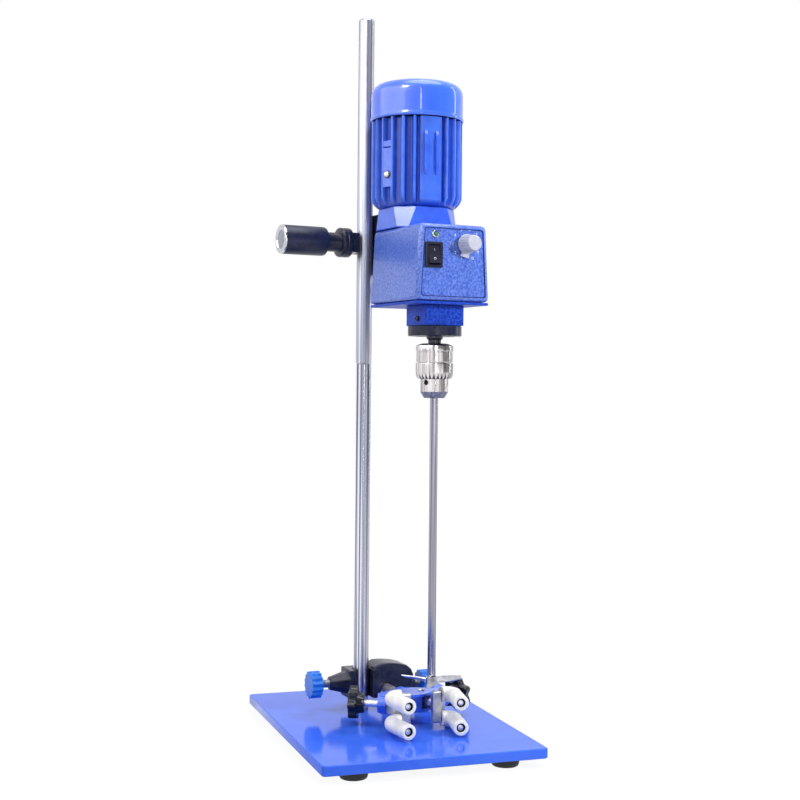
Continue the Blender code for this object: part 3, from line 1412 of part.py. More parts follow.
def boss_knobs():
    boss_knob("left", COLUMN_R + GAP, -BOSS_KNOB_LEFT_X, BOSS_SCREW_Z, ALONG_MINUS_X)
    boss_knob("right", CLAMP_X + CLAMP_ROD_R + GAP, BOSS_KNOB_RIGHT_X, CLAMP_Z, ALONG_X)


# Flask clamp


def clamp_rod():
    rod = turned([
        (0.0, CLAMP_ROD_BACK),
        (CLAMP_ROD_R - OVER, CLAMP_ROD_BACK),
        (CLAMP_ROD_R, CLAMP_ROD_BACK - OVER),
        (CLAMP_ROD_R, CLAMP_ROD_FRONT),
        (0.0, CLAMP_ROD_FRONT)], COARSE)
    return part(place(rod, CLAMP, (0.0, 0.0, 0.0), ALONG_Y), "clamp_rod", CHROME)


def screw_frame(side):
    """Where a jaw screw crosses its jaw, turned so that +Z runs out to its knob."""
    turn = math.radians(SCREW_TURN)
    out = Vector((side * math.cos(turn), math.sin(turn), 0.0))
    at = Vector((side * SCREW_CROSS_X, SCREW_CROSS_Y, 0.0))
    return at, out.to_track_quat("Z", "Y").to_euler()


def cheek_outline():
    back = CLAMP_SOCKET_BACK - 8 * MM
    lug_x = SCREW_CROSS_X + LUG_FROM_CROSS * math.cos(math.radians(SCREW_TURN))
    lug_y = SCREW_CROSS_Y + LUG_FROM_CROSS * math.sin(math.radians(SCREW_TURN))
    half = [
        (CLAMP_SOCKET_R - OVER, back),
        (lug_x + 3 * MM, lug_y + 7 * MM),
        (lug_x + 3 * MM, lug_y - 6 * MM),
        (PIVOT_X + 8 * MM, PIVOT_Y - 9 * MM),
        (CLAMP_BLOCK_HALF + 2 * MM, CLAMP_BLOCK_FRONT)]
    return rounded_outline(half + [(-x, y) for x, y in reversed(half)], 3 * MM, 1)


def clamp_body():
    """Cast body: rod socket, core, two cheeks that hold the jaws, and screw lugs."""
    arm_half = JAW_ARM_H / 2 + GAP
    top = arm_half + CHEEK_T
    core = box((-CLAMP_BLOCK_HALF, CLAMP_BLOCK_FRONT + 2 * MM, -top + 0.1 * MM),
               (CLAMP_BLOCK_HALF, CLAMP_SOCKET_BACK - 4 * MM, top - 0.1 * MM))
    place(core, CLAMP)
    for level in (-1, 1):
        cheek = extruded(cheek_outline(), CHEEK_T)
        fuse(core, place(cheek, CLAMP, (0.0, 0.0, level * (arm_half + CHEEK_T / 2))))
    socket = cylinder(CLAMP_SOCKET_R, 0.0, CLAMP_SOCKET_BACK - PIVOT_Y - 8 * MM, COARSE)
    fuse(core, place(socket, CLAMP, (0.0, PIVOT_Y + 8 * MM, 0.0), ALONG_Y))
    for side in (-1, 1):
        at, turn = screw_frame(side)
        lug = cylinder(LUG_R, LUG_FROM_CROSS - LUG_T / 2, LUG_FROM_CROSS + LUG_T / 2, COARSE)
        fuse(core, place(lug, CLAMP, at, turn))
    for side in (-1, 1):
        at, turn = screw_frame(side)
        bore = cylinder(CLAMP_SCREW_SHAFT_R + RUN, LUG_FROM_CROSS - LUG_T, LUG_FROM_CROSS + LUG_T, COARSE)
        cut(core, place(bore, CLAMP, at, turn))
        pin_hole = cylinder(PIVOT_R + GAP, -top - OVER, top + OVER, SMALL)
        cut(core, place(pin_hole, CLAMP, (side * PIVOT_X, PIVOT_Y, 0.0)))
    rod_hole = cylinder(CLAMP_ROD_R + GAP, CLAMP_ROD_FRONT - GAP, CLAMP_SOCKET_BACK + OVER, COARSE)
    cut(core, place(rod_hole, CLAMP, (0.0, 0.0, 0.0), ALONG_Y))
    return part(core, "clamp_body", BLUE_ENAMEL)


def pivot_pin(side, name):
    top = JAW_ARM_H / 2 + GAP + CHEEK_T + GAP
    pin = turned([
        (0.0, top + PIVOT_HEAD_T),
        (PIVOT_HEAD_R - 0.6 * MM, top + PIVOT_HEAD_T),
        (PIVOT_HEAD_R, top),
        (PIVOT_R, top),
        (PIVOT_R, -top),
        (0.0, -top)], COARSE)
    return part(place(pin, CLAMP, (side * PIVOT_X, PIVOT_Y, 0.0)), f"pivot_pin_{name}", STEEL)


def star_knob():
    """Lobed disc with a smaller hub towards the screw, and a blind seat."""
    disc = extruded(lobed_outline(STAR_R, STAR_LOBES, STAR_DIP * 2, 6), STAR_T)
    disc.data.transform(Matrix.Translation((0.0, 0.0, STAR_FROM_CROSS)))
    return disc


def jaw_screw(side, name):
    at, turn = screw_frame(side)
    low = STAR_FROM_CROSS - STAR_T / 2
    knob = place(star_knob(), CLAMP, at, turn)
    hub = cylinder(STAR_HUB_R, low - STAR_HUB_T, low + OVER, COARSE, STAR_HUB_R + OVER)
    fuse(knob, place(hub, CLAMP, at, turn))
    seat = cylinder(CLAMP_SCREW_SHAFT_R + GAP, low - STAR_HUB_T - OVER, low + STAR_T / 2 + GAP, COARSE)
    cut(knob, place(seat, CLAMP, at, turn))
    part(knob, f"star_knob_{name}", BLACK_PLASTIC)
    screw = cylinder(CLAMP_SCREW_SHAFT_R, -SCREW_TIP_PAST, low + STAR_T / 2, COARSE)
    part(place(screw, CLAMP, at, turn), f"jaw_screw_{name}", CHROME)


def prong_path(end_short, start):
    """Path of a finger: out from the jaw's head, round the elbow, then forward."""
    corner = Vector((PRONG_ELBOW_S, PRONG_F))
    tip = Vector((PRONG_TIP_S, PRONG_TIP_F))
    along = (tip - corner).normalized()
    into = Vector((-1.0, 0.0))
    half = into.angle(along) / 2
    reach = PRONG_BEND_R / math.tan(half)
    first = corner + into * reach
    last = corner + along * reach
    centre_dir = (into + along).normalized()
    centre = corner + centre_dir * (PRONG_BEND_R / math.sin(half))
    start_angle = math.degrees(math.atan2(first.y - centre.y, first.x - centre.x))
    end_angle = math.degrees(math.atan2(last.y - centre.y, last.x - centre.x))
    bend = arc(centre, PRONG_BEND_R, start_angle, end_angle, 5)
    stop = tip - along * end_short
    return [(start, PRONG_F), *bend, (stop.x, stop.y)]


def jaw_points(path, side, level):
    """Jaw coordinates (outward, forward) as points in the jaw's own frame."""
    return [(side * s, -f, level * PRONG_LIFT) for s, f in path]


def jaw_frame(side, name):
    angle = -side * LEFT_JAW_OPEN if side < 0 else 0.0
    return frame_at(f"jaw_frame_{name}", (side * PIVOT_X, PIVOT_Y, 0.0), -angle, CLAMP)


def jaw_outline(side):
    """The jaw's arm in plan: along the screw crossing, then in to its head."""
    along = Vector((SCREW_CROSS_X - PIVOT_X, PIVOT_Y - SCREW_CROSS_Y))
    reach = along.length
    along.normalize()
    across = Vector((along.y, -along.x)) * (JAW_ARM_T / 2)
    far = along * (reach + JAW_ARM_PAST)
    inner_s = JAW_HEAD_S[0] + OVER
    outer_s = JAW_HEAD_S[1] - OVER
    head_f = JAW_HEAD_F[1] - OVER
    behind_sleeve = math.sqrt(SLEEVE_R ** 2 - (PRONG_LIFT - JAW_ARM_H / 2) ** 2)
    neck_f = PRONG_F - behind_sleeve - 2 * GAP
    points = [
        across - along * 1.5 * MM,
        far + across,
        Vector((far.x, neck_f - OVER)),
        Vector((outer_s, neck_f)),
        Vector((outer_s, head_f)),
        Vector((inner_s, head_f)),
        Vector((inner_s, neck_f)),
        Vector((JAW_HEAD_S[1], neck_f - JAW_NECK_W)),
        along * (reach + JAW_ARM_PAST * 0.6) - across,
        -across - along * 1.5 * MM,
        -across * 0.5 - along * 4 * MM,
        across * 0.5 - along * 4 * MM]
    return [(side * p.x, -p.y) for p in points]


def jaw(side, name):
    """One jaw: arm, head and two prongs, about its pivot pin."""
    frame = jaw_frame(side, name)
    outline = jaw_outline(side)
    if side < 0:
        outline = list(reversed(outline))
    arm = place(extruded(outline, JAW_ARM_H), frame)
    s_values = sorted(side * s for s in JAW_HEAD_S)
    head = box((s_values[0], -JAW_HEAD_F[1], -JAW_HEAD_H / 2),
               (s_values[1], -JAW_HEAD_F[0], JAW_HEAD_H / 2))
    round_edges(head, OVER, 1)
    fuse(arm, place(baked(head), frame))
    pin_hole = cylinder(PIVOT_R + RUN, -JAW_ARM_H, JAW_ARM_H, SMALL)
    cut(arm, place(pin_hole, frame))
    turn = math.radians(SCREW_TURN)
    slot_half = 6 * MM
    slot = box((-20 * MM, -slot_half, -CLAMP_SCREW_SHAFT_R - 2.5 * GAP),
               (20 * MM, slot_half, CLAMP_SCREW_SHAFT_R + 2.5 * GAP))
    at = (side * (SCREW_CROSS_X - PIVOT_X), SCREW_CROSS_Y - PIVOT_Y, 0.0)
    cut(arm, place(slot, frame, at, (0.0, 0.0, side * turn)))
    for level in (-1, 1):
        path = prong_path(PRONG_SHORT, 0.0)
        prong = swept(jaw_points(path, side, level), PRONG_R)
        fuse(arm, place(prong, frame))
    part(arm, f"jaw_{name}", ALUMINIUM)
    for level, place_name in ((-1, "lower"), (1, "upper")):
        path = prong_path(0.0, JAW_HEAD_S[1] + GAP)
        tube = swept(jaw_points(path, side, level), SLEEVE_R, caps=False)
        shell = tube.modifiers.new("wall", "SOLIDIFY")
        shell.thickness = SLEEVE_WALL
        shell.offset = -1.0
        part(place(tube, frame), f"finger_{name}_{place_name}", WHITE_VINYL)


def build_stand():
    base_plate()
    feet()
    column_lower()
    column_bolt()
    column_upper()


def build_head():
    control_housing()
    base_cover()
    front_panel()
    switch_bezel()
    power_rocker()
    pilot_light()
    potentiometer()
    speed_knob()
    cable_gland()
    control_board()
    motor_adapter()
    motor_body()
    motor_bearings()
    stator()
    rotor()
    cooling_fan()
    fan_cowl()
    motor_pulley()
    spindle_pulley()
    drive_belt()
    clamp_bracket()
    clamp_screw()
    clamp_grip()


def build_output():
    output_housing()
    spindle_bearing()
    output_flange()
    spindle()
    chuck_body()
    chuck_sleeve()
    for index in range(JAW_COUNT):
        chuck_jaw(index)
    stirring_rod()
    impeller()


def build_clamp():
    bosshead()
    boss_knobs()
    clamp_rod()
    clamp_body()
    for side, name in ((-1, "left"), (1, "right")):
        pivot_pin(side, name)
        jaw_screw(side, name)
        jaw(side, name)


build_stand()
build_head()
build_output()
build_clamp()
bpy.context.view_layer.update()
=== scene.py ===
"""Looks of the overhead stirrer: finer pieces, paints and metals, light and camera.

Shapes are written in millimetres in the frame of the piece that carries them.
"""
import json
import math

import bmesh
import bpy
from mathutils import Matrix, Vector

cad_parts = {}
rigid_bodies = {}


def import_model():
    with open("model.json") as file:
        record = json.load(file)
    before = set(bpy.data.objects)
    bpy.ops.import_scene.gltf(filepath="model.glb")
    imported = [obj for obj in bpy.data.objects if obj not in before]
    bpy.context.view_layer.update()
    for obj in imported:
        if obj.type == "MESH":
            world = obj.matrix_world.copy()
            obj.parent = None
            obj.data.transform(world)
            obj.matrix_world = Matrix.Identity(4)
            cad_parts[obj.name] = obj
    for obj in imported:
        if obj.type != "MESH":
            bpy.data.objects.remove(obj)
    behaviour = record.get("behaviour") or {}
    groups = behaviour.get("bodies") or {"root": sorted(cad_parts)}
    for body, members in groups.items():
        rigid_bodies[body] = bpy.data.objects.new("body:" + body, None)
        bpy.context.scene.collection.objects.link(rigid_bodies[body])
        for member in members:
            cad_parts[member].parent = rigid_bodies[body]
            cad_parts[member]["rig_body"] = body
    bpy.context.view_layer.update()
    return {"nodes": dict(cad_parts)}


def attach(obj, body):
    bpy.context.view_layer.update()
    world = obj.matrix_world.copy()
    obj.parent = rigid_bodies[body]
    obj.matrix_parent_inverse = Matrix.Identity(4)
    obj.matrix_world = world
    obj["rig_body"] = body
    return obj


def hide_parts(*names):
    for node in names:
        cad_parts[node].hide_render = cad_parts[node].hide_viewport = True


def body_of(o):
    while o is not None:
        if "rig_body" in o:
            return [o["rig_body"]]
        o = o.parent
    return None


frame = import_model()

MM = 0.001


def at(x, y, z):
    return Matrix.Translation((x * MM, y * MM, z * MM))


def turn(degrees, axis):
    return Matrix.Rotation(math.radians(degrees), 4, axis)


# Frames of the stand, the head, the output and the lower clamp, as in the solids
PLATE_TOP = 18
HEAD_YAW = 7.7
HEAD_ASIDE = 32
MOTOR_FORWARD = 51.7
SPINDLE_FORWARD = 93.7
PANEL_FORWARD = 125.9
HANDLE_HEIGHT = 472
BOSS_YAW = 5
CLAMP_ASIDE = 24
CLAMP_HEIGHT = 21
COLUMN = at(-12.5, 51, PLATE_TOP)
HEAD = COLUMN @ turn(HEAD_YAW, "Z")
MOTOR = HEAD @ at(HEAD_ASIDE, -MOTOR_FORWARD, 0)
SPINDLE = HEAD @ at(HEAD_ASIDE, -SPINDLE_FORWARD, 0)
PANEL = HEAD @ at(0, -PANEL_FORWARD, 0) @ turn(90, "X")
DIAL = PANEL @ at(48, 463.5, 0)
LAMP = PANEL @ at(14.7, 471.5, 0)
HANDLE = HEAD @ at(0, 0, HANDLE_HEIGHT) @ turn(-90, "Y")
BOSS = COLUMN @ turn(BOSS_YAW, "Z")
CLAMP = BOSS @ at(CLAMP_ASIDE, 0, CLAMP_HEIGHT)


# Colour and nodes


def srgb(text):
    """A hex colour as linear red, green, blue and alpha."""
    made = []
    for i in (0, 2, 4):
        value = int(text[i:i + 2], 16) / 255
        made.append(value / 12.92 if value <= 0.04045 else ((value + 0.055) / 1.055) ** 2.4)
    return (*made, 1.0)


def add(tree, kind, links=None, inputs=None, **settings):
    """Add a node with its settings, its input values and its links."""
    made = tree.nodes.new(kind)
    for key, value in settings.items():
        setattr(made, key, value)
    for key, value in (inputs or {}).items():
        made.inputs[key].default_value = value
    for key, source in (links or {}).items():
        tree.links.new(source, made.inputs[key])
    return made


def speckle(tree, size, detail, roughness, stretch):
    """Noise over the piece's own surface, in patches of a real size in millimetres."""
    where = add(tree, "ShaderNodeTexCoord")
    scale = add(tree, "ShaderNodeMapping", {"Vector": where.outputs["Object"]}, {"Scale": stretch})
    noise = add(tree, "ShaderNodeTexNoise", {"Vector": scale.outputs["Vector"]},
                {"Scale": 1 / (size * MM), "Detail": detail, "Roughness": roughness})
    return noise.outputs["Fac"]


def blotched(tree, shader, low, high, size, span=0.18, detail=3.0, stretch=(1, 1, 1)):
    """Vary the colour between two; a smaller span gives a sharper change."""
    ramp = add(tree, "ShaderNodeValToRGB", {"Fac": speckle(tree, size, detail, 0.6, stretch)})
    dark, light = ramp.color_ramp.elements
    dark.position, dark.color = 0.5 - span, srgb(low)
    light.position, light.color = 0.5 + span, srgb(high)
    tree.links.new(ramp.outputs["Color"], shader.inputs["Base Color"])


def bumped(tree, shader, size, depth, strength, stretch=(1, 1, 1)):
    """Give the surface a grain of a real size and depth in millimetres."""
    bump = add(tree, "ShaderNodeBump", {"Height": speckle(tree, size, 2.0, 0.5, stretch)},
               {"Strength": strength, "Distance": depth * MM})
    tree.links.new(bump.outputs["Normal"], shader.inputs["Normal"])


def finish(name, colour, roughness, metallic=0.0, blotches=(), grain=(), **sockets):
    """A new material: constant values on its shader, blotches of colour and a grain."""
    made = bpy.data.materials.new(name)
    made.use_nodes = True
    made.diffuse_color = srgb(colour)
    shader = made.node_tree.nodes["Principled BSDF"]
    shader.inputs["Base Color"].default_value = srgb(colour)
    shader.inputs["Roughness"].default_value = roughness
    shader.inputs["Metallic"].default_value = metallic
    for key, value in sockets.items():
        shader.inputs[key.replace("_", " ")].default_value = value
    if blotches:
        blotched(made.node_tree, shader, *blotches)
    if grain:
        bumped(made.node_tree, shader, *grain)
    return made


def thin_at_roots(material, root, crest):
    """Darken the colour near the fins' roots as painted shade and lighten it at their crests as a painted
    highlight, by radius.
    """
    tree = material.node_tree
    colour = tree.nodes["Principled BSDF"].inputs["Base Color"]
    where = add(tree, "ShaderNodeTexCoord")
    plan = add(tree, "ShaderNodeMapping", {"Vector": where.outputs["Object"]},
               {"Location": (-MOTOR.translation.x, -MOTOR.translation.y, 0), "Scale": (1, 1, 0)})
    out = add(tree, "ShaderNodeVectorMath", {0: plan.outputs["Vector"]}, operation="LENGTH")
    depth = add(tree, "ShaderNodeMapRange", {"Value": out.outputs["Value"]},
                {"From Min": root * MM, "From Max": crest * MM})
    # Colour multiplier: dark at the roots for painted shade, light at the crests for a painted highlight
    # Inputs 6 and 7 and output 2 are the mix node's colours
    root_shade_and_crest_light = add(tree, "ShaderNodeMix", {0: depth.outputs["Result"]},
                {6: (0.25, 0.42, 0.66, 1), 7: (1.5, 1.35, 1.12, 1)}, data_type="RGBA")
    shaded_colour = add(tree, "ShaderNodeVectorMath",
                  {0: colour.links[0].from_socket, 1: root_shade_and_crest_light.outputs[2]}, operation="MULTIPLY")
    tree.links.new(shaded_colour.outputs["Vector"], colour)


# Finishes, with patches and grain of a real size in millimetres; where one paints light or shade, its comment
# says so

# Stoved enamel on the sheet metal plate: deep, wet gloss that mirrors what stands on it
PLATE_ENAMEL = finish("stoved_enamel_plate", "3B69E8", 0.11, blotches=("3563E6", "4471EC", 60),
                      grain=(14, 0.03, 0.25), Specular_IOR_Level=0.13)

# Sprayed enamel on the small castings: glossy, with a soft flow
MOTOR_ENAMEL = finish("sprayed_enamel", "2E60EA", 0.34, blotches=("2658E0", "3A6EF2", 14),
                      grain=(2.2, 0.04, 0.3), Coat_Weight=0.5, Coat_Roughness=0.15)

# The same enamel on the finned casing, with painted shade at the roots of the fins and a painted highlight at
# their crests
FIN_ENAMEL_PAINTED_SHADE = finish("sprayed_enamel_on_fins_with_painted_shade", "3C68E2", 0.28, blotches=("3662DE", "4472E8", 14),
                    grain=(2.2, 0.04, 0.3), Specular_IOR_Level=0.3, Coat_Weight=0.2, Coat_Roughness=0.12)
thin_at_roots(FIN_ENAMEL_PAINTED_SHADE, 39, 44)

# Enamel on the pressed cowl: smoother than the castings, with sharp bright reflections, and a little lighter
# than their enamel, a painted light on the cowl above the shaded fins
COWL_ENAMEL = finish("smooth_enamel_cowl", "3468F0", 0.4, blotches=("2E62EC", "3C70F4", 30),
                     grain=(9, 0.02, 0.2), Coat_Weight=0.8, Coat_Roughness=0.07)

# Hammer paint on the control housing: pebbled, each pebble catching the light
HAMMER_PAINT = finish("hammer_paint_blue", "4668CE", 0.32, blotches=("3052BC", "6B8AE2", 1.9, 0.14, 4.0),
                      grain=(1.8, 0.18, 0.6), Coat_Weight=0.25, Coat_Roughness=0.2)

# Hammer paint of the output block and the cover under the housing: a deeper blue that is painted shade under
# the housing
HAMMER_PAINTED_SHADE = finish("hammer_paint_deep_blue", "1A3CB0", 0.45, blotches=("10309C", "2C54CE", 1.9, 0.13, 4.0),
                     grain=(1.8, 0.15, 0.5), Specular_IOR_Level=0.18)

# Black paint on castings: satin, a little blue in the light
BLACK_PAINT = finish("satin_black_paint", "1D2136", 0.26, blotches=("171A2D", "272C46", 6),
                     grain=(1.2, 0.05, 0.4), Specular_IOR_Level=0.3)

# Chromed drawn steel: fine lengthwise streaks of drawing marks, light and dark enough to be painted
# reflections of the room
CHROME = finish("chromed_drawn_steel", "C4C6D4", 0.26, 1.0,
                blotches=("6E728C", "F4F4FC", 2.4, 0.12, 3.0, (1, 1, 0.003)),
                grain=(0.5, 0.006, 0.3, (1, 1, 0.002)))

# The same chrome on the upper column, greyer and darker, with softer reflections: the darker tone is painted
# shade
CHROME_PAINTED_SHADE = finish("chrome_with_painted_shade", "A6A8B6", 0.36, 0.78,
                     blotches=("70738A", "CCCEDA", 2.2, 0.10, 3.0, (1, 1, 0.003)),
                     grain=(0.5, 0.006, 0.3, (1, 1, 0.002)))

# Satin chrome of the clamp's rod and screws: even, with soft edges to its reflections, and pale, a painted
# light that keeps the rod bright where it lies in shade
SATIN_CHROME = finish("satin_chrome_plate", "DCDCEA", 0.30, 0.85, blotches=("CFCFE0", "EDEDF6", 5, 0.18, 2.0),
                      grain=(0.5, 0.015, 0.3))

# Drawn steel of the stirring rod: grey, with long streaks
ROD_STEEL = finish("drawn_steel_rod", "8E8E9C", 0.20, 1.0,
                   blotches=("6E6E7E", "B4B4C0", 1.8, 0.14, 3.0, (1, 1, 0.004)),
                   grain=(0.5, 0.006, 0.3, (1, 1, 0.002)))

# Ground steel of the blades: brighter, with faint marks
GROUND_STEEL = finish("ground_stainless_steel", "B4B4BE", 0.3, 1.0,
                      blotches=("9E9EAA", "CACAD2", 5, 0.18, 2.0), grain=(0.4, 0.008, 0.3))

# Polished nickel of the chuck: bright, with long soft patches in its colour that are painted reflections of
# the room
TURNED_NICKEL = finish("polished_nickel", "C8C2C4", 0.23, 1.0,
                       blotches=("A39C9F", "F0ECEE", 3.0, 0.14, 3.0, (1, 1, 0.03)),
                       grain=(0.35, 0.015, 0.3, (0.02, 0.02, 1)))

# Bare steel of the chuck's nose: greyer and bluer than the plating above it
NOSE_STEEL = finish("bare_steel_nose", "7E829C", 0.34, 1.0,
                    blotches=("50546E", "8A8DA8", 2.0, 0.18, 3.0, (1, 1, 0.2)), grain=(0.4, 0.015, 0.3))

# Painted shade in the chuck's key holes: nearly black
KEY_HOLE_SHADE = finish("painted_key_hole_shade", "16151A", 0.6, blotches=("100F13", "242228", 0.8), Specular_IOR_Level=0.2)

# Blued steel of the spindle, jaws and small screws: nearly black, with clear grey reflections; also the
# painted shade behind the chuck's teeth
BLUED_STEEL_AND_SHADE = finish("blued_steel_and_painted_shade", "3A3A42", 0.30, 1.0, blotches=("2A2A31", "55555E", 2.2),
                     grain=(0.5, 0.02, 0.3))

# Zinc plated steel of bearings, bolts and pins: light grey and mottled, with soft reflections
ZINC = finish("zinc_plated_steel", "A8AAAE", 0.30, 1.0, blotches=("8E9196", "C6C8CC", 1.5),
              grain=(0.8, 0.02, 0.3))

# Bare cast aluminium of the jaws and pulleys: pale grey, with a fine grain that softens the light
CAST_ALUMINIUM = finish("cast_aluminium", "B9BBC0", 0.34, 1.0, blotches=("ABADB4", "CDCED4", 5),
                        grain=(0.9, 0.02, 0.4))

# Plated brass of the earth screw: pale gold, with small sharp glints
BRASS = finish("plated_brass", "E2DCC6", 0.18, 1.0, blotches=("C9BE9C", "F2EFE2", 1.0))

# Moulded rubber of the grip: smooth skin with a bluish sheen
GRIP_RUBBER = finish("moulded_rubber_grip", "0E1330", 0.36, blotches=("0A0E24", "182044", 5),
                     grain=(0.8, 0.05, 0.4), Specular_IOR_Level=0.36)

# Moulded rubber of the feet and belt: dull and slightly dusty
FOOT_RUBBER = finish("dusty_black_rubber", "17171A", 0.62, blotches=("121214", "26262A", 4),
                     grain=(0.7, 0.06, 0.5))

# Phenolic plastic of the star knobs: hard black gloss with a blue cast
BLACK_PHENOLIC = finish("black_phenolic", "0B0D18", 0.10, blotches=("090A14", "131626", 3),
                        grain=(2.5, 0.03, 0.3), Specular_IOR_Level=0.45)

# Moulded nylon of the switch and the gland: dark, with a fine dull grain
BLACK_NYLON = finish("black_nylon", "1A1B2C", 0.5, blotches=("151625", "22243A", 1.2), grain=(0.5, 0.03, 0.4),
                     Specular_IOR_Level=0.3)

# Painted shade inside the fingers' mouths: a dull dark ring round the bright end
MOUTH_SHADE = finish("dark_liner", "1B1B20", 0.7, blotches=("141418", "2A2A30", 1.0), Specular_IOR_Level=0.2)

# Painted shade in the panel's joint: a thin dark line round the panel
SEAM_SHADE = finish("painted_seam_shade", "12215E", 0.6, blotches=("0E1A4C", "1B2F78", 1.5), Specular_IOR_Level=0.2)

# Moulded nylon of the fluted knobs: satin blue, brighter than the paint
BLUE_NYLON = finish("blue_nylon", "1668D2", 0.36, blotches=("125EC6", "2A7CE2", 4), grain=(0.9, 0.04, 0.4),
                    Subsurface_Weight=0.08, Subsurface_Radius=(0.001, 0.001, 0.002))

# Painted silver plastic of the dial knob: light grey, with a clean satin sheen
SILVER_PLASTIC = finish("silver_grey_plastic", "BFC1D2", 0.28, blotches=("B4B6CA", "CCCEDE", 5),
                        grain=(0.8, 0.01, 0.3))

# Soft vinyl sleeves on the fingers: matt and faintly translucent
WHITE_VINYL = finish("white_vinyl", "EDECE8", 0.42, blotches=("E2E0DB", "F6F5F2", 7), grain=(1.4, 0.05, 0.4),
                     Subsurface_Weight=0.15, Subsurface_Radius=(0.002, 0.0018, 0.0015))

# White printing ink on the panel and the switch: matt and opaque
WHITE_INK = finish("white_printing_ink", "F0F2FA", 0.5, blotches=("E2E6F4", "FAFBFE", 0.6))

# Tinted lens of the pilot lamp, unlit: a dark, glossy green with a sharp highlight
GREEN_LENS = finish("green_lamp_lens", "1E6E52", 0.12, blotches=("0F4A38", "3E9A74", 1.6), Coat_Weight=0.6,
                    Coat_Roughness=0.05)

# Polished chrome of small rings: bright, mirroring the room
BRIGHT_CHROME = finish("bright_chrome_ring", "C8CAD0", 0.12, 1.0, blotches=("A9ABB4", "DDDFE4", 1.2))

# Moulded plastic of the grip's end plug: plain grey, with a soft sheen
GREY_PLUG = finish("grey_end_plug", "8C909C", 0.40, blotches=("7C808C", "9CA0AC", 3))

# Varnished windings and laminations: copper brown, with a streaked half metallic sheen
WINDING = finish("varnished_winding", "9A5A2E", 0.38, 0.6,
                 blotches=("7A4220", "B8763F", 0.8, 0.18, 2.0, (1, 1, 0.2)))

# Green solder mask of the speed board: an even deep green, with a satin sheen
SOLDER_MASK = finish("green_solder_mask", "1D5A2C", 0.38, blotches=("174A24", "2B7A3E", 1.2))


# Shapes


def lathe(profile, sides=96):
    """Spin a profile of (radius, height) points round the Z axis."""
    bm = bmesh.new()
    verts = [bm.verts.new((radius, 0, height)) for radius, height in profile]
    edges = [bm.edges.new(pair) for pair in zip(verts, verts[1:])]
    bmesh.ops.spin(bm, geom=verts + edges, cent=(0, 0, 0), axis=(0, 0, 1), angle=2 * math.pi,
                   steps=sides, use_merge=True)
    return bm


def raised(bm, faces, move):
    """Extrude faces, move the new ones and give back their corners."""
    grown = bmesh.ops.extrude_face_region(bm, geom=faces)["geom"]
    verts = [v for v in grown if isinstance(v, bmesh.types.BMVert)]
    bmesh.ops.translate(bm, vec=move, verts=verts)
    return verts


def slab(outline, low, high):
    """Extrude an outline between two heights."""
    bm = bmesh.new()
    face = bm.faces.new([bm.verts.new((x, y, low)) for x, y in outline])
    raised(bm, [face], (0, 0, high - low))
    return bm


def framing(outer, inner, low, high):
    """Ring between two outlines with equal numbers of points, extruded between two heights."""
    bm = bmesh.new()
    for outline in (outer, inner):
        verts = [bm.verts.new((x, y, low)) for x, y in outline]
        for pair in zip(verts, verts[1:] + verts[:1]):
            bm.edges.new(pair)
    flat = bmesh.ops.bridge_loops(bm, edges=bm.edges[:])["faces"]
    raised(bm, flat, (0, 0, high - low))
    return bm


def grow(bm, edges, move):
    """Extrude a ring of edges and move the new ring."""
    made = bmesh.ops.extrude_edge_only(bm, edges=edges)["geom"]
    verts = {v for v in made if isinstance(v, bmesh.types.BMVert)}
    bmesh.ops.transform(bm, matrix=move, verts=list(verts))
    return [e for e in made if isinstance(e, bmesh.types.BMEdge) and set(e.verts) <= verts]


def corners(edges):
    """The vertices of some edges, each once."""
    return {v for e in edges for v in e.verts}


def polar(radius, degrees):
    """X and Y at a radius and a bearing."""
    angle = math.radians(degrees)
    return radius * math.cos(angle), radius * math.sin(angle)


def bearing(point):
    """A point's degrees round the Z axis, from 0 to 360."""
    return math.degrees(math.atan2(point.y, point.x)) % 360


def ring_arc(radius, start, end, steps, centre=(0, 0)):
    spots = [polar(radius, start + (end - start) * i / steps) for i in range(steps + 1)]
    return [(centre[0] + x, centre[1] + y) for x, y in spots]


def lobed(radius, depth, lobes, points):
    """Outline of a knob with even lobes, each drawn with a number of points."""
    made = []
    for i in range(lobes * points):
        angle = 2 * math.pi * i / (lobes * points)
        reach = radius - depth * (1 - math.cos(lobes * angle))
        made.append((reach * math.cos(angle), reach * math.sin(angle)))
    return made


def soften(points, radius, steps=6):
    """Round the corners of an outline."""
    made = []
    for i, here in enumerate(points):
        here = Vector(here)
        first = Vector(points[i - 1]) - here
        second = Vector(points[(i + 1) % len(points)]) - here
        reach = min(radius, first.length / 2, second.length / 2)
        a = here + first.normalized() * reach
        b = here + second.normalized() * reach
        for step in range(steps + 1):
            t = step / steps
            point = a * (1 - t) ** 2 + here * 2 * t * (1 - t) + b * t ** 2
            made.append((point.x, point.y))
    return made


def make(name, bm, place, material, body, nodes=(), smooth=35, edge=0.0, rounds=3):
    """Put a shape on its body as a finished piece, at its place in its mesh."""
    bmesh.ops.remove_doubles(bm, verts=bm.verts, dist=0.002)
    bmesh.ops.recalc_face_normals(bm, faces=bm.faces)
    bm.transform(place @ Matrix.Scale(MM, 4))
    mesh = bpy.data.meshes.new(name)
    bm.to_mesh(mesh)
    bm.free()
    return dress(name, mesh, material, body, nodes, smooth, edge, rounds)


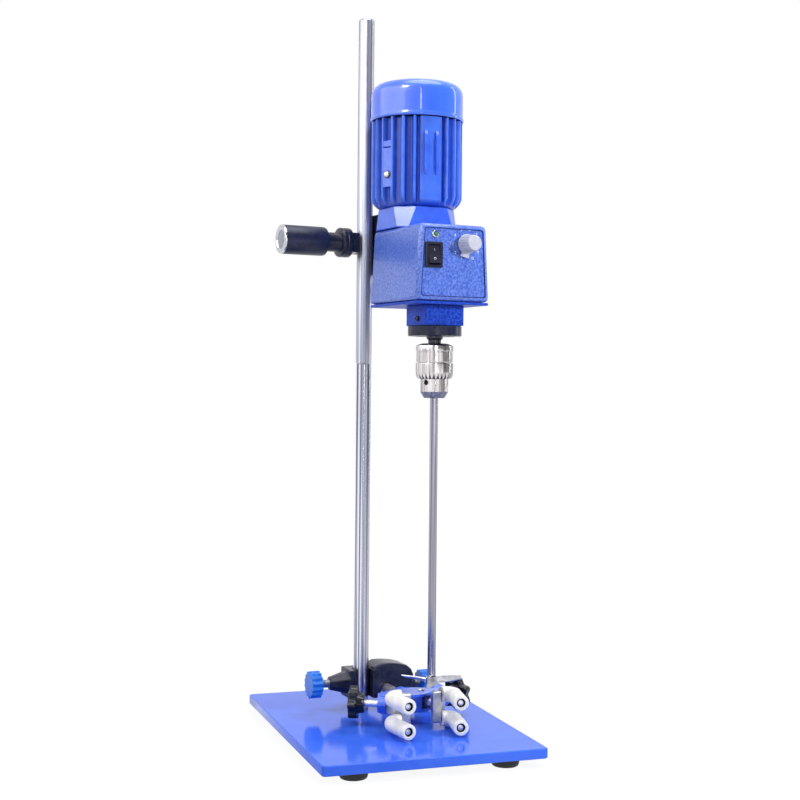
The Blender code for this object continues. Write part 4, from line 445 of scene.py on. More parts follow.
def dress(name, mesh, material, body, nodes, smooth, edge, rounds):
    """Give a mesh its object, finish, shading, soft edges and body."""
    piece = bpy.data.objects.new(name, mesh)
    bpy.context.scene.collection.objects.link(piece)
    mesh.materials.clear()
    mesh.materials.append(material)
    mesh.shade_smooth()
    mesh.set_sharp_from_angle(angle=math.radians(smooth))
    if edge:
        bevel = piece.modifiers.new("soft_edges", "BEVEL")
        bevel.width = edge * MM
        bevel.segments = rounds
        bevel.limit_method = "ANGLE"
        bevel.angle_limit = math.radians(smooth)
        bevel.harden_normals = True
    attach(piece, body)
    if nodes:
        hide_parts(*nodes)
    return piece


def refined(node, material, edge=0.0, smooth=35, rounds=2):
    """A welded copy of a solid whose shape is right, with smooth shading and soft edges."""
    source = frame["nodes"][node]
    name = f"{node}_finished"
    bm = bmesh.new()
    bm.from_mesh(source.data)
    bmesh.ops.remove_doubles(bm, verts=bm.verts, dist=0.01 * MM)
    bmesh.ops.dissolve_limit(bm, angle_limit=math.radians(0.5), verts=bm.verts, edges=bm.edges)
    mesh = bpy.data.meshes.new(name)
    bm.to_mesh(mesh)
    bm.free()
    dress(name, mesh, material, body_of(source)[0], (node,), smooth, edge, rounds)


def lettering(name, text, size, place, body):
    """Printed white characters, centred, a hair above the surface."""
    curve = bpy.data.curves.new(name, "FONT")
    curve.body = text
    curve.size = size * MM
    curve.align_x = "CENTER"
    curve.align_y = "CENTER"
    curve.extrude = 0.03 * MM
    source = bpy.data.objects.new(name, curve)
    bpy.context.scene.collection.objects.link(source)
    bpy.context.view_layer.update()
    flattened = source.evaluated_get(bpy.context.evaluated_depsgraph_get())
    mesh = bpy.data.meshes.new_from_object(flattened)
    bpy.data.objects.remove(source, do_unlink=True)
    mesh.transform(place)
    dress(name, mesh, WHITE_INK, body, (), 35, 0.0, 1)


# Stand


def stand():
    refined("base_plate", PLATE_ENAMEL, edge=0.25)
    aside, along = 72.5, 125
    feet = ((-aside, -along), (-aside, along), (aside, -along), (aside, along))
    for index, (x, y) in enumerate(feet, 1):
        pad = lathe([(0, 8.2), (13.0, 8.2), (13.5, 7.7), (13.2, 4.5), (12.6, 1.6), (11.9, 0.5), (11.1, 0),
                     (0, 0)], 64)
        make(f"rubber_foot_{index}", pad, at(x, y, 0), FOOT_RUBBER, "stand", (f"foot_{index}",))
    lower = lathe([(0, 350), (7.5, 350), (8, 349.5), (8, 0.8), (7.5, 0.3), (0, 0.3)])
    make("column_lower_rod", lower, COLUMN, CHROME, "stand", ("column_lower",))
    upper = lathe([(0, 700), (5.5, 700), (7.0, 699.5), (7.7, 698.6), (8, 697.5), (8, 350.8), (7.5, 350.3),
                   (0, 350.3)])
    # The upper column's chrome is greyer and darker than the lower column's: painted shade
    make("column_upper_rod", upper, COLUMN, CHROME_PAINTED_SHADE, "column_top", ("column_upper",))
    refined("column_bolt", ZINC, edge=0.3)


# Head


def panel_edge(inset):
    """The panel's outline, a distance inside the housing's tapered front."""
    low, high = 408.8 + inset, 482 - inset
    left, right = -4.5 + inset * 1.053, 74 - inset * 1.053
    draft = 3.9 - inset * 0.107
    return soften([(left, low), (right, low), (right - draft, high), (left + draft, high)], 3.4)


def housing():
    refined("control_housing", HAMMER_PAINT, smooth=25)
    # The cover under the housing in the deeper blue: painted shade
    refined("base_cover", HAMMER_PAINTED_SHADE, edge=0.4)
    refined("front_panel", HAMMER_PAINT, edge=0.3)
    # Thin dark ring in the gap round the panel: painted shade
    seam = framing(panel_edge(4.1), panel_edge(4.75), 0.02, 0.66)
    make("panel_seam", seam, PANEL, SEAM_SHADE, "head", ())
    refined("cable_gland", BLACK_NYLON, edge=0.4)
    refined("control_board", SOLDER_MASK, edge=0.2)
    refined("potentiometer", ZINC, edge=0.2)


def controls():
    """Rocker switch with its marks, pilot lamp, dial and the numbers round it."""
    refined("switch_bezel", BLACK_NYLON, edge=0.35)
    refined("power_rocker", BLACK_NYLON, edge=0.4)
    tilt, from_edge, slope = 10, 4.3, 7.8
    rocker = PANEL @ at(12.8, 452, 1.5) @ turn(-tilt, "X")
    for name, text, size, side in (("mark_on", "I", 3.4, 1), ("mark_off", "O", 3.2, -1)):
        half = rocker @ at(0, side * from_edge, 1.68) @ turn(side * slope, "X")
        lettering(name, text, size, half, "rocker")
    ring = lathe([(2.1, 1.2), (2.5, 1.75), (3.1, 1.6), (3.6, 1.0), (3.8, 0.4), (3.8, 0.1), (2.1, 0.1),
                  (2.1, 1.2)], 48)
    make("lamp_ring", ring, LAMP, BRIGHT_CHROME, "head", ())
    lens = lathe([(0, 1.9), (0.8, 1.85), (1.5, 1.6), (2.05, 1.1), (2.1, -8), (0, -8)], 40)
    make("lamp_lens", lens, LAMP, GREEN_LENS, "head", ("pilot_light",))
    dial_knob()
    first, step, ring_radius = 198.7, 35, 14.6
    for number in range(1, 11):
        angle = math.radians(first + step * (number - 1))
        spot = DIAL @ at(ring_radius * math.sin(angle), ring_radius * math.cos(angle), 0.08)
        lettering(f"number_{number}", str(number), 4.0, spot, "head")


def dial_knob():
    """Ribbed knob that tapers to a domed cap, with a wedge of a pointer at its foot."""
    foot = lathe([(0, 1.3), (9.3, 1.3), (9.5, 1.6), (9.5, 2.4), (9.1, 2.8), (0, 2.8)], 72)
    make("dial_foot", foot, DIAL, SILVER_PLASTIC, "speed_dial", ())
    ribs, points = 18, 6
    groove, taper = 0.9, 0.86
    waist = bmesh.new()
    bmesh.ops.create_circle(waist, cap_ends=True, radius=8.9, segments=ribs * points)
    for vert in waist.verts:
        around = math.atan2(vert.co.y, vert.co.x) * ribs / (2 * math.pi)
        if round(around * points) % points == 0:
            vert.co *= groove
    bmesh.ops.translate(waist, vec=(0, 0, 2.6), verts=waist.verts)
    top = raised(waist, waist.faces[:], (0, 0, 12.9))
    bmesh.ops.scale(waist, vec=(taper, taper, 1), verts=top)
    make("dial_waist", waist, DIAL, SILVER_PLASTIC, "speed_dial", (), smooth=25)
    cap = lathe([(0, 18), (4.9, 17.9), (6.6, 17.5), (7.3, 16.7), (7.5, 15.4), (0, 15.4)], 64)
    make("dial_cap", cap, DIAL, SILVER_PLASTIC, "speed_dial", ("speed_knob",))
    pointer = slab([(-3.0, 6.4), (3.0, 6.4), (4.6, 12.9), (-4.6, 12.9)], 1.4, 3.8)
    make("dial_pointer", pointer, DIAL @ turn(-194, "Z"), SILVER_PLASTIC, "speed_dial", (),
         edge=0.3)


FINS = 24
PLAIN_FACES = (-105, -90)


def fin_outline():
    """Plan of the motor: thin fins with round roots, and plain faces between them."""
    face_radius, half_face = 42.6, 7.2
    half_fin = ((0.8, 45.0), (1.5, 44.2), (2.1, 41.2), (2.9, 39.6), (4.2, 39.0), (7.0, 39.3))
    fin = [(-side, radius) for side, radius in reversed(half_fin)] + list(half_fin)
    made = []
    for i in range(FINS):
        middle = -180 + 360 // FINS * i
        if middle in PLAIN_FACES:
            made += ring_arc(face_radius, middle - half_face, middle + half_face, 6)
        else:
            made += [polar(radius, middle + side) for side, radius in fin]
    return made


def motor():
    """Finned casing: the fins run straight down and curve in above the neck."""
    height = 588.9
    bm = bmesh.new()
    rim = [bm.verts.new((x, y, height)) for x, y in fin_outline()]
    bm.faces.new(rim)
    edges = [bm.edges.get((a, b)) for a, b in zip(rim, rim[1:] + rim[:1])]
    # Heights, each with the radius that the fins are cut back to there
    for z, limit in ((586, 99), (519, 46), (517, 45.9), (515, 45.6), (513, 45.1), (511, 44.3), (509, 43.2),
                     (507.5, 42.1), (506, 40.8), (504.8, 39.5), (503.9, 38.3), (503.2, 37.2)):
        edges = grow(bm, edges, Matrix.Translation((0, 0, z - height)))
        height = z
        for vert in corners(edges):
            radius = math.hypot(vert.co.x, vert.co.y)
            if radius > limit:
                vert.co.x *= limit / radius
                vert.co.y *= limit / radius
    bmesh.ops.holes_fill(bm, edges=edges)
    make("motor_casing", bm, MOTOR, FIN_ENAMEL_PAINTED_SHADE, "head", ("motor_body",), smooth=50)
    for angle in PLAIN_FACES:
        shape = soften([(-23, 0), (-17, 4.0), (17, 4.0), (23, 0), (23, -1), (-23, -1)], 2)
        rib = slab(shape, -1.6, 1.6)
        place = MOTOR @ turn(angle, "Z") @ at(41.7, 0, 553.5) @ turn(90, "X") @ turn(-90, "Z")
        make(f"front_rib_{abs(angle)}", rib, place, MOTOR_ENAMEL, "head", (), edge=1.1)
    earth_terminal()


def earth_terminal():
    """Pad between two fins, split by a joint, with a brass screw on a dark washer."""
    pad_at = MOTOR @ turn(-157.5, "Z") @ at(44.4, 0, 543.5) @ turn(90, "Y") @ turn(90, "Z")
    half = 5.5
    for name, low, high in (("lower", -22.5, 15.6), ("upper", 16.4, 22.5)):
        pad = slab([(-half, low), (half, low), (half, high), (-half, high)], -5, 0)
        make(f"earth_pad_{name}", pad, pad_at, MOTOR_ENAMEL, "head", (), edge=0.5)
    screw_at = pad_at @ at(1.2, -10.5, 0.05)
    washer = lathe([(0, 0.6), (3.9, 0.6), (4.1, 0.4), (4.1, 0), (0, 0)], 32)
    make("earth_washer", washer, screw_at, BLUED_STEEL_AND_SHADE, "head", ())
    screw = lathe([(0, 3.4), (1.5, 3.3), (2.3, 2.8), (2.8, 1.9), (2.9, 0.6), (0, 0.6)], 32)
    make("earth_screw", screw, screw_at, BRASS, "head", ())


def cowl():
    """Pressed cowl: rolled shoulder, slotted top and a shadow line above the fins."""
    sides, in_group, open_sides = 96, 8, 2
    slot_start, slot_end = 15, 30
    bm = lathe([(0, 626.5), (11, 626.5), (33, 626.1), (37.4, 625.6), (40.6, 624.2), (43.2, 621.9),
                (44.9, 618.9), (45.5, 615.4), (45.6, 611.5), (45.6, 610.5), (45.6, 594.4), (45.6, 593.6),
                (46.1, 592.6), (46.3, 591.4), (46.2, 590.2), (45.8, 589.3)], sides)
    slots = []
    for face in bm.faces:
        centre = face.calc_center_median()
        side = int(bearing(centre) / (360 / sides))
        if slot_start < math.hypot(centre.x, centre.y) < slot_end and side % in_group < open_sides:
            slots.append(face)
    bmesh.ops.delete(bm, geom=slots, context="FACES")
    piece = make("pressed_cowl", bm, MOTOR, COWL_ENAMEL, "head", ("fan_cowl",), smooth=40)
    wall = piece.modifiers.new("wall", "SOLIDIFY")
    wall.thickness = 1.6 * MM
    wall.offset = -1


def neck():
    refined("motor_adapter", MOTOR_ENAMEL, edge=0.7, smooth=20, rounds=3)


def inside():
    """Pieces that only show when the head is opened."""
    for node in ("motor_bearing_lower", "motor_bearing_upper", "spindle_bearing"):
        refined(node, ZINC, edge=0.2)
    refined("stator", WINDING, edge=0.3)
    refined("rotor", BLUED_STEEL_AND_SHADE, edge=0.2)
    refined("cooling_fan", BLACK_NYLON, edge=0.2)
    for node in ("motor_pulley", "spindle_pulley"):
        refined(node, CAST_ALUMINIUM, edge=0.2)
    refined("drive_belt", FOOT_RUBBER, edge=0.2)


def handle():
    """Hook, clamping screw with its collar, and the rubber grip with its end plug."""
    refined("clamp_bracket", BLACK_PAINT, edge=0.8, rounds=3)
    screw = lathe([(0, 8.3), (4, 8.3), (5, 9.3), (5, 17.3), (9.6, 17.3), (13.6, 17.5), (14.6, 18.4),
                   (14.8, 19.5), (14.8, 23.0), (14.0, 23.8), (14.0, 24.8), (14.8, 25.6), (14.8, 28.2),
                   (14.2, 29.2), (11.5, 29.5), (9.9, 29.6), (9.7, 30.2), (9.7, 43.4), (9.2, 44), (0, 44)], 80)
    make("clamping_screw", screw, HANDLE, BLACK_PAINT, "clamp_handle", ("clamp_screw",))
    grip = lathe([(9.5, 44.3), (12.6, 44.3), (13.9, 45.3), (14.5, 47.5), (14.5, 89.4), (14.3, 90.0),
                  (9.5, 90.0)], 80)
    make("rubber_grip", grip, HANDLE, GRIP_RUBBER, "clamp_handle", ("clamp_grip",))
    band = lathe([(9.2, 91.0), (10.2, 91.9), (12.6, 92.2), (14.0, 91.7), (14.5, 90.6), (14.4, 89.9),
                  (9.2, 89.9), (9.2, 91.0)], 80)
    make("grip_end_ring", band, HANDLE, BRIGHT_CHROME, "clamp_handle", ())
    plug = lathe([(0, 91.2), (7.6, 91.2), (9.1, 91.0), (9.1, 89.9), (0, 89.9)], 64)
    make("grip_end_plug", plug, HANDLE, GREY_PLUG, "clamp_handle", ())


# Output


def output():
    """Block and flange under the housing, spindle, chuck, stirring rod and blades."""
    # The block under the housing in the deeper blue: painted shade
    refined("output_housing", HAMMER_PAINTED_SHADE, edge=0.5)
    for side, name in ((-1, "left"), (1, "right")):
        head = lathe([(0, 1.0), (1.2, 1.0), (1.2, 2.6), (2.2, 2.6), (2.5, 2.2), (2.5, -1), (0, -1)], 32)
        place = SPINDLE @ at(side * 21, -6, 393) @ turn(side * 90, "Y")
        make(f"side_screw_{name}", head, place, BLUED_STEEL_AND_SHADE, "head", ())
    flange = lathe([(8.4, 386.1), (25.6, 386.1), (26, 385.7), (26, 377.1), (25.4, 376.4), (20, 376.3),
                    (19, 376.9), (12.5, 376.9), (11.6, 376.3), (8.4, 376.3), (8.4, 386.1)], 96)
    make("black_flange", flange, SPINDLE, BLACK_PAINT, "head", ("output_flange",))
    shaft = lathe([(0, 434), (5.5, 434), (6, 433.5), (6, 386.1), (8, 386.1), (8, 374.6), (7.4, 373.6),
                   (6.3, 373), (6.0, 355.3), (0, 355.3)], 64)
    make("turned_spindle", shaft, SPINDLE, BLUED_STEEL_AND_SHADE, "spindle_group", ("spindle",))
    chuck()
    rod = lathe([(0, 347), (3.5, 347), (4, 346.5), (4, 40.8), (3.6, 40.2), (0, 40.2)], 64)
    make("ground_rod", rod, SPINDLE, ROD_STEEL, "spindle_group", ("stirring_rod",))
    refined("impeller", GROUND_STEEL, edge=0.15)


def chuck():
    """Keyed chuck: shouldered body, toothed sleeve and a nose with key holes."""
    body = lathe([(6.3, 355), (6.3, 369.4), (12.4, 369.4), (13.6, 369.1), (16.9, 368.0), (17.9, 367.3),
                  (18.2, 366.4), (18.2, 362.4), (17.9, 361.8), (17.4, 361.5), (17.4, 361.0), (17.7, 360.6),
                  (17.7, 351.8), (17.4, 351.2), (13.6, 351.1), (13.6, 349), (6.3, 349), (6.3, 355)])
    make("chuck_upper_body", body, SPINDLE, TURNED_NICKEL, "spindle_group", (), smooth=25)
    make("chuck_nose", nose_with_key_holes(), SPINDLE, TURNED_NICKEL, "spindle_group", ("chuck_body",),
         smooth=25)
    sleeve = lathe([(13.8, 350.7), (17.6, 350.7), (18.2, 350.2), (18.3, 349.4), (18.2, 341.4),
                    (15.6, 341.2), (13.8, 341.2), (13.8, 350.7)], 96)
    make("chuck_sleeve_body", sleeve, SPINDLE, TURNED_NICKEL, "chuck_sleeve_ring", ("chuck_sleeve",),
         smooth=20)
    # Dark ring behind the teeth, in blued steel: painted shade in the gaps between them
    root = lathe([(13.8, 341.4), (15.7, 341.4), (14.9, 336.0), (14.2, 335.1), (13.8, 335.1),
                  (13.8, 341.4)], 96)
    make("chuck_tooth_root", root, SPINDLE, BLUED_STEEL_AND_SHADE, "chuck_sleeve_ring", (), smooth=30)
    make("chuck_teeth", tooth_ring(28), SPINDLE, TURNED_NICKEL, "chuck_sleeve_ring", (),
         smooth=20)
    cone = lathe([(12.6, 323.0), (13.45, 322.8), (13.25, 322.2), (10.1, 317.1), (9.5, 316.8), (6.0, 316.8),
                  (6.0, 317.2), (12.6, 323.0)], 96)
    make("chuck_nose_cone", cone, SPINDLE, NOSE_STEEL, "spindle_group", (), smooth=25)
    for index in range(3):
        refined(f"chuck_jaw_{index + 1}", BLUED_STEEL_AND_SHADE, edge=0.2)
        # A nearly black disc inside each key hole: painted shade
        seat = lathe([(0, 11.9), (2.0, 12.0), (2.55, 12.6), (2.62, 13.3), (2.75, 13.3), (2.75, 11.5),
                      (0, 11.5)], 32)
        place = SPINDLE @ turn(90 + 120 * index, "Z") @ at(0, 0, KEY_HEIGHT) @ turn(90, "Y")
        make(f"key_seat_{index + 1}", seat, place, KEY_HOLE_SHADE, "spindle_group", ())


def tooth_ring(teeth):
    """Bevelled teeth of the sleeve: they meet at their roots and come to points at the nose."""
    half = 180 / teeth
    inner_share = 0.87
    # Heights, each with a radius and how far the tooth has narrowed, in half teeth
    rows = {341.6: (18.25, -0.5), 338.9: (17.9, -0.34), 335.4: (16.4, 0.3)}
    bm = lathe([(radius, z) for z, (radius, _) in rows.items()], teeth * 2)
    gaps = [f for f in bm.faces if int(bearing(f.calc_center_median()) / half) % 2]
    bmesh.ops.delete(bm, geom=gaps, context="FACES")
    for z, (radius, narrower) in rows.items():
        for vert in [v for v in bm.verts if abs(v.co.z - z) < 0.01]:
            step = round(bearing(vert.co) / half)
            vert.co.xy = polar(radius, (step + (narrower if step % 2 == 0 else -narrower)) * half)
    for vert in raised(bm, bm.faces[:], (0, 0, 0)):
        vert.co.xy = vert.co.xy * inner_share
    return bm


NOSE_RADIUS = 13.4
KEY_HEIGHT = 331.8
KEY_RADIUS = 2.6
KEY_DEPTH = 4
KEY_BEARINGS = (86.25, 206.25, 326.25)


def nose_with_key_holes():
    """The chuck's nose, with three round holes sunk for the key."""
    rows = [KEY_HEIGHT + KEY_RADIUS * k for k in (1.6, 1.0, 0.5, 0.0, -0.5, -1.0, -1.6)]
    bm = lathe([(NOSE_RADIUS, 349), *((NOSE_RADIUS, z) for z in rows), (NOSE_RADIUS, 323.0), (13.1, 322.4),
                (10.0, 317.3), (9.5, 317), (5.6, 317), (5.4, 317.4), (5.4, 349), (NOSE_RADIUS, 349)], 96)
    for start in KEY_BEARINGS:
        inner = [f for f in bm.faces if near_hole(f.calc_center_median(), start)]
        for vert in {v for f in inner for v in f.verts}:
            u = from_hole(vert.co, start)
            v = vert.co.z - KEY_HEIGHT
            reach = math.hypot(u, v)
            if reach > KEY_RADIUS * 0.6:
                angle = math.radians(start) + u * KEY_RADIUS / reach / NOSE_RADIUS
                vert.co = (NOSE_RADIUS * math.cos(angle), NOSE_RADIUS * math.sin(angle),
                           KEY_HEIGHT + v * KEY_RADIUS / reach)
        raised(bm, inner, (*polar(-KEY_DEPTH, start), 0))
        bmesh.ops.delete(bm, geom=inner, context="FACES")
    return bm


def from_hole(point, start):
    """Distance round the nose from the middle of the hole at a bearing."""
    degrees = (math.degrees(math.atan2(point.y, point.x)) - start + 180) % 360 - 180
    return math.radians(degrees) * NOSE_RADIUS


def near_hole(point, start):
    outside = math.hypot(point.x, point.y) > NOSE_RADIUS - 0.4
    return outside and abs(point.z - KEY_HEIGHT) < KEY_RADIUS and abs(from_hole(point, start)) < KEY_RADIUS


# Lower clamp


def tapered_barrel(start, length):
    """Eight-sided barrel that narrows to a round collar, along Z."""
    radius = 12
    bm = bmesh.new()
    bmesh.ops.create_circle(bm, cap_ends=False, radius=radius, segments=8)
    bmesh.ops.rotate(bm, matrix=Matrix.Rotation(math.radians(22.5), 3, "Z"), verts=bm.verts)
    edges = list(bm.edges)
    for scale in (0.92, 0.80, 0.67, 0.56):
        edges = grow(bm, edges, Matrix.Translation((0, 0, length / 4)))
        verts = list(corners(edges))
        shrink = radius * scale / max(math.hypot(v.co.x, v.co.y) for v in verts)
        bmesh.ops.scale(bm, vec=(shrink, shrink, 1), verts=verts)
    bmesh.ops.holes_fill(bm, edges=bm.edges)
    bmesh.ops.translate(bm, vec=(0, 0, start), verts=bm.verts)
    return bm


def bosshead():
    """Cast bosshead: hook on the column, arch over the clamp's rod, and its two screws."""
    slot = 8.6
    plan = [(-15, -10), (-slot, -10), *ring_arc(slot, 180, 0, 24), (slot, -13), (16.5, -13), (16.5, 17),
            (-15, 17)]
    make("bosshead_hook", slab(plan, 12, 41), BOSS, BLACK_PAINT, "cross_clamp", (), smooth=40,
         edge=1.2)
    side = [(9.6, 13), (18.4, 13), *ring_arc(5.6, 180, 0, 20, (CLAMP_ASIDE, CLAMP_HEIGHT)), (29.6, 9),
            (48.5, 9), (52.8, 15), (54, 22), (54, 33), (51.6, 38.6), (46.4, 42.8), (38, 45.0), (27, 46.3),
            (18, 46.4), (9.6, 43)]
    make("bosshead_arch", slab(side, -14, 14), BOSS @ at(0, 2, 0) @ turn(90, "X"), BLACK_PAINT, "cross_clamp",
         ("bosshead",), smooth=28, edge=2.2, rounds=4)
    left = BOSS @ at(0, 0, 28) @ turn(-90, "Y")
    right = BOSS @ at(0, 0, CLAMP_HEIGHT) @ turn(90, "Y")
    for name, place, start, length in (("left", left, 14, 20.5), ("right", right, 46, 12.5)):
        make(f"{name}_barrel", tapered_barrel(start, length), place, BLACK_PAINT, "cross_clamp", (),
             smooth=30, edge=0.8)
    for name, place, start, seat in (("left", left, 8.3, 44.5), ("right", right, 29.3, 65)):
        body = f"{name}_boss_screw"
        thickness = 11.5
        knob = slab(lobed(radius=13.7, depth=0.75, lobes=14, points=10), seat, seat + thickness)
        make(f"fluted_knob_{name}", knob, place, BLUE_NYLON, body, (f"boss_knob_{name}",),
             smooth=50, edge=1.1)
        make(f"threaded_stud_{name}", threaded_stud(start, seat), place, ZINC, body, (),
             smooth=25)


def threaded_stud(start, seat):
    """Stud of 8 mm with rolled grooves, from its tip into the knob."""
    radius, root, groove, pitch = 4, 3.65, 0.7, 0.9
    profile = [(0, start), (3.4, start), (radius, start + 0.8)]
    z = start + 2
    while z < seat - 1:
        profile += [(radius, z), (root, z + groove / 2), (radius, z + groove)]
        z += pitch
    return lathe(profile + [(radius, seat + 1), (0, seat + 1)], 40)


def flask_clamp():
    """Rod, blue body, two pivoted jaws, their screws and the white fingers."""
    rod = lathe([(0, 75), (4, 75), (5, 74), (5, -64), (0, -64)], 64)
    make("clamp_rod_bar", rod, CLAMP @ turn(-90, "X"), SATIN_CHROME, "flask_clamp", ("clamp_rod",))
    refined("clamp_body", MOTOR_ENAMEL, edge=0.9, smooth=30, rounds=3)
    for name in ("left", "right"):
        refined(f"pivot_pin_{name}", ZINC, edge=0.3)
        refined(f"jaw_{name}", CAST_ALUMINIUM, edge=0.5, smooth=30, rounds=3)
    splay = math.radians(31)
    lug_aside, lug_forward = 19, 81
    for side, name in ((-1, "left"), (1, "right")):
        outward = Vector((side * math.cos(splay), math.sin(splay), 0))
        place = CLAMP @ at(side * lug_aside, -lug_forward, 0) @ facing(outward)
        jaw_screw(name, place)
        fingers(side, name)


def facing(direction):
    """Turn that lays Z along a direction."""
    return direction.to_track_quat("Z", "Y").to_matrix().to_4x4()


def jaw_screw(name, place):
    """Chromed screw with a seven-lobed knob and a collar where it meets the lug."""
    body = f"{name}_jaw_screw"
    shaft = lathe([(0, -7.5), (2.5, -7.5), (3.15, -6.8), (3.15, 41), (0, 41)], 48)
    make(f"jaw_screw_shaft_{name}", shaft, place, SATIN_CHROME, body, (f"jaw_screw_{name}",))
    disc = slab(lobed(radius=16.2, depth=1.75, lobes=7, points=16), 37.6, 46.4)
    make(f"star_disc_{name}", disc, place, BLACK_PHENOLIC, body, (f"star_knob_{name}",),
         smooth=50, edge=1.8, rounds=4)
    hub = lathe([(3.3, 31.1), (8.2, 31.1), (9.1, 31.8), (9.6, 34), (10.0, 38), (3.3, 38), (3.3, 31.1)], 64)
    make(f"star_hub_{name}", hub, place, BLACK_PHENOLIC, body, (), smooth=30)


FINGER_ROOT = Vector((5.3, 34.5))
FINGER_CORNER = Vector((17.6, 34.5))
FINGER_TIP = Vector((6.7, 76))
FINGER_LINE = (FINGER_TIP - FINGER_CORNER).normalized()
FINGER_AHEAD = FINGER_LINE.to_3d()
BEND_ANGLE = math.acos(Vector((1, 0)).dot(FINGER_LINE))
BEND_RADIUS = 8.0
BEND_REACH = BEND_RADIUS * math.tan(BEND_ANGLE / 2)
BEND_STEPS = 14
FINGER_LEVEL = 11.6


def bent_sleeve(height):
    """White sleeve that leaves the jaw sideways, bends forwards and ends in a round mouth."""
    prong, root, full = 3.4, 6.8, 7.3
    start = Vector((*FINGER_ROOT, height))
    bm = bmesh.new()
    bmesh.ops.create_circle(bm, cap_ends=False, radius=prong, segments=40)
    bmesh.ops.rotate(bm, matrix=Matrix.Rotation(math.radians(90), 3, "Y"), verts=bm.verts)
    bmesh.ops.translate(bm, vec=start, verts=bm.verts)
    back = Matrix.Translation(-start)
    edges = grow(bm, list(bm.edges), Matrix.Translation(start) @ Matrix.Scale(root / prong, 4) @ back)
    rounded = Matrix.Translation(start + Vector((0.5, 0, 0))) @ Matrix.Scale(full / root, 4) @ back
    edges = grow(bm, edges, rounded)
    bend_start = FINGER_CORNER - Vector((BEND_REACH, 0))
    edges = grow(bm, edges, Matrix.Translation((bend_start.x - FINGER_ROOT.x - 0.5, 0, 0)))
    pivot = Vector((bend_start.x, bend_start.y + BEND_RADIUS, height))
    swing = (Matrix.Translation(pivot) @ Matrix.Rotation(BEND_ANGLE / BEND_STEPS, 4, "Z")
             @ Matrix.Translation(-pivot))
    for _ in range(BEND_STEPS):
        edges = grow(bm, edges, swing)
    run = (FINGER_TIP - FINGER_CORNER - FINGER_LINE * BEND_REACH).length
    for length in (run * 0.45, run * 0.45, run * 0.1 - 0.6):
        edges = grow(bm, edges, Matrix.Translation(FINGER_AHEAD * length))
    # Round lip, flat end, then the wall of the mouth back inside
    for forward, scale in ((0.4, 0.965), (0.2, 0.93), (0.0, 0.69), (-0.4, 0.93), (-5.6, 1.0)):
        middle = sum((v.co for v in corners(edges)), Vector()) / len(edges)
        move = (Matrix.Translation(middle + FINGER_AHEAD * forward) @ Matrix.Scale(scale, 4)
                @ Matrix.Translation(-middle))
        edges = grow(bm, edges, move)
    bmesh.ops.holes_fill(bm, edges=edges)
    return bm


def fingers(side, name):
    """Sleeves over a jaw's two prongs, with the prong's bright end inside each mouth."""
    pivot_aside, pivot_forward, mouth_depth = 12, 69, 5.8
    open_by = 11 if side < 0 else 0
    jaw = CLAMP @ at(side * pivot_aside, -pivot_forward, 0) @ turn(-open_by, "Z")
    jaw = jaw @ Matrix.Diagonal((side, -1, 1, 1))
    body = f"{name}_jaw"
    for level, height in (("lower", -FINGER_LEVEL), ("upper", FINGER_LEVEL)):
        make(f"sleeve_{name}_{level}", bent_sleeve(height), jaw, WHITE_VINYL, body,
             (f"finger_{name}_{level}",), smooth=40)
        end = lathe([(0, 3.9), (1.9, 3.9), (2.5, 3.6), (2.8, 2.8), (2.8, -2), (0, -2)], 32)
        # Dark ring inside each mouth, round the prong's end: painted shade
        shade_ring = lathe([(2.7, 3.2), (3.6, 3.3), (3.9, 4.6), (4.15, 4.6), (4.15, -1), (2.7, -1),
                       (2.7, 3.2)], 32)
        inmost = Vector((*FINGER_TIP, height)) - FINGER_AHEAD * mouth_depth
        mouth = jaw @ at(*inmost) @ facing(FINGER_AHEAD)
        make(f"prong_end_{name}_{level}", end, mouth, SATIN_CHROME, body, ())
        make(f"mouth_liner_{name}_{level}", shade_ring, mouth, MOUTH_SHADE, body, ())


# Surroundings, in metres


def looked_at(tree, rays, *others):
    """1 for the camera's rays and for the other kinds that are named, 0 for the rest."""
    seen = rays.outputs["Is Camera Ray"]
    for kind in others:
        either = add(tree, "ShaderNodeMath", {0: seen, 1: rays.outputs[f"Is {kind} Ray"]},
                     operation="MAXIMUM")
        seen = either.outputs[0]
    return seen


def backdrop():
    """White room that lights the part half as much as it shows, and is dimmer in front."""
    world = bpy.data.worlds.new("white_studio")
    bpy.context.scene.world = world
    world.use_nodes = True
    tree = world.node_tree
    tree.nodes.clear()
    rays = add(tree, "ShaderNodeLightPath")
    level = add(tree, "ShaderNodeMapRange", {"Value": looked_at(tree, rays, "Glossy", "Transmission")},
                {"To Min": 0.5, "To Max": 1.0})
    where = add(tree, "ShaderNodeTexCoord")
    ahead = add(tree, "ShaderNodeVectorMath", {0: where.outputs["Generated"]}, {1: (0.64, -0.77, 0.0)},
                operation="DOT_PRODUCT")
    room = add(tree, "ShaderNodeMapRange", {"Value": ahead.outputs["Value"]},
               {"From Min": 0.1, "From Max": 0.72, "To Min": 1.0, "To Max": 0.22})
    dimmed = add(tree, "ShaderNodeMath", {0: level.outputs["Result"], 1: room.outputs["Result"]},
                 operation="MULTIPLY")
    strength = add(tree, "ShaderNodeMath", {0: dimmed.outputs[0], 1: rays.outputs["Is Camera Ray"]},
                   operation="MAXIMUM")
    sky = add(tree, "ShaderNodeBackground", {"Strength": strength.outputs[0]}, {"Color": (1, 1, 1, 1)})
    add(tree, "ShaderNodeOutputWorld", {"Surface": sky.outputs["Background"]})


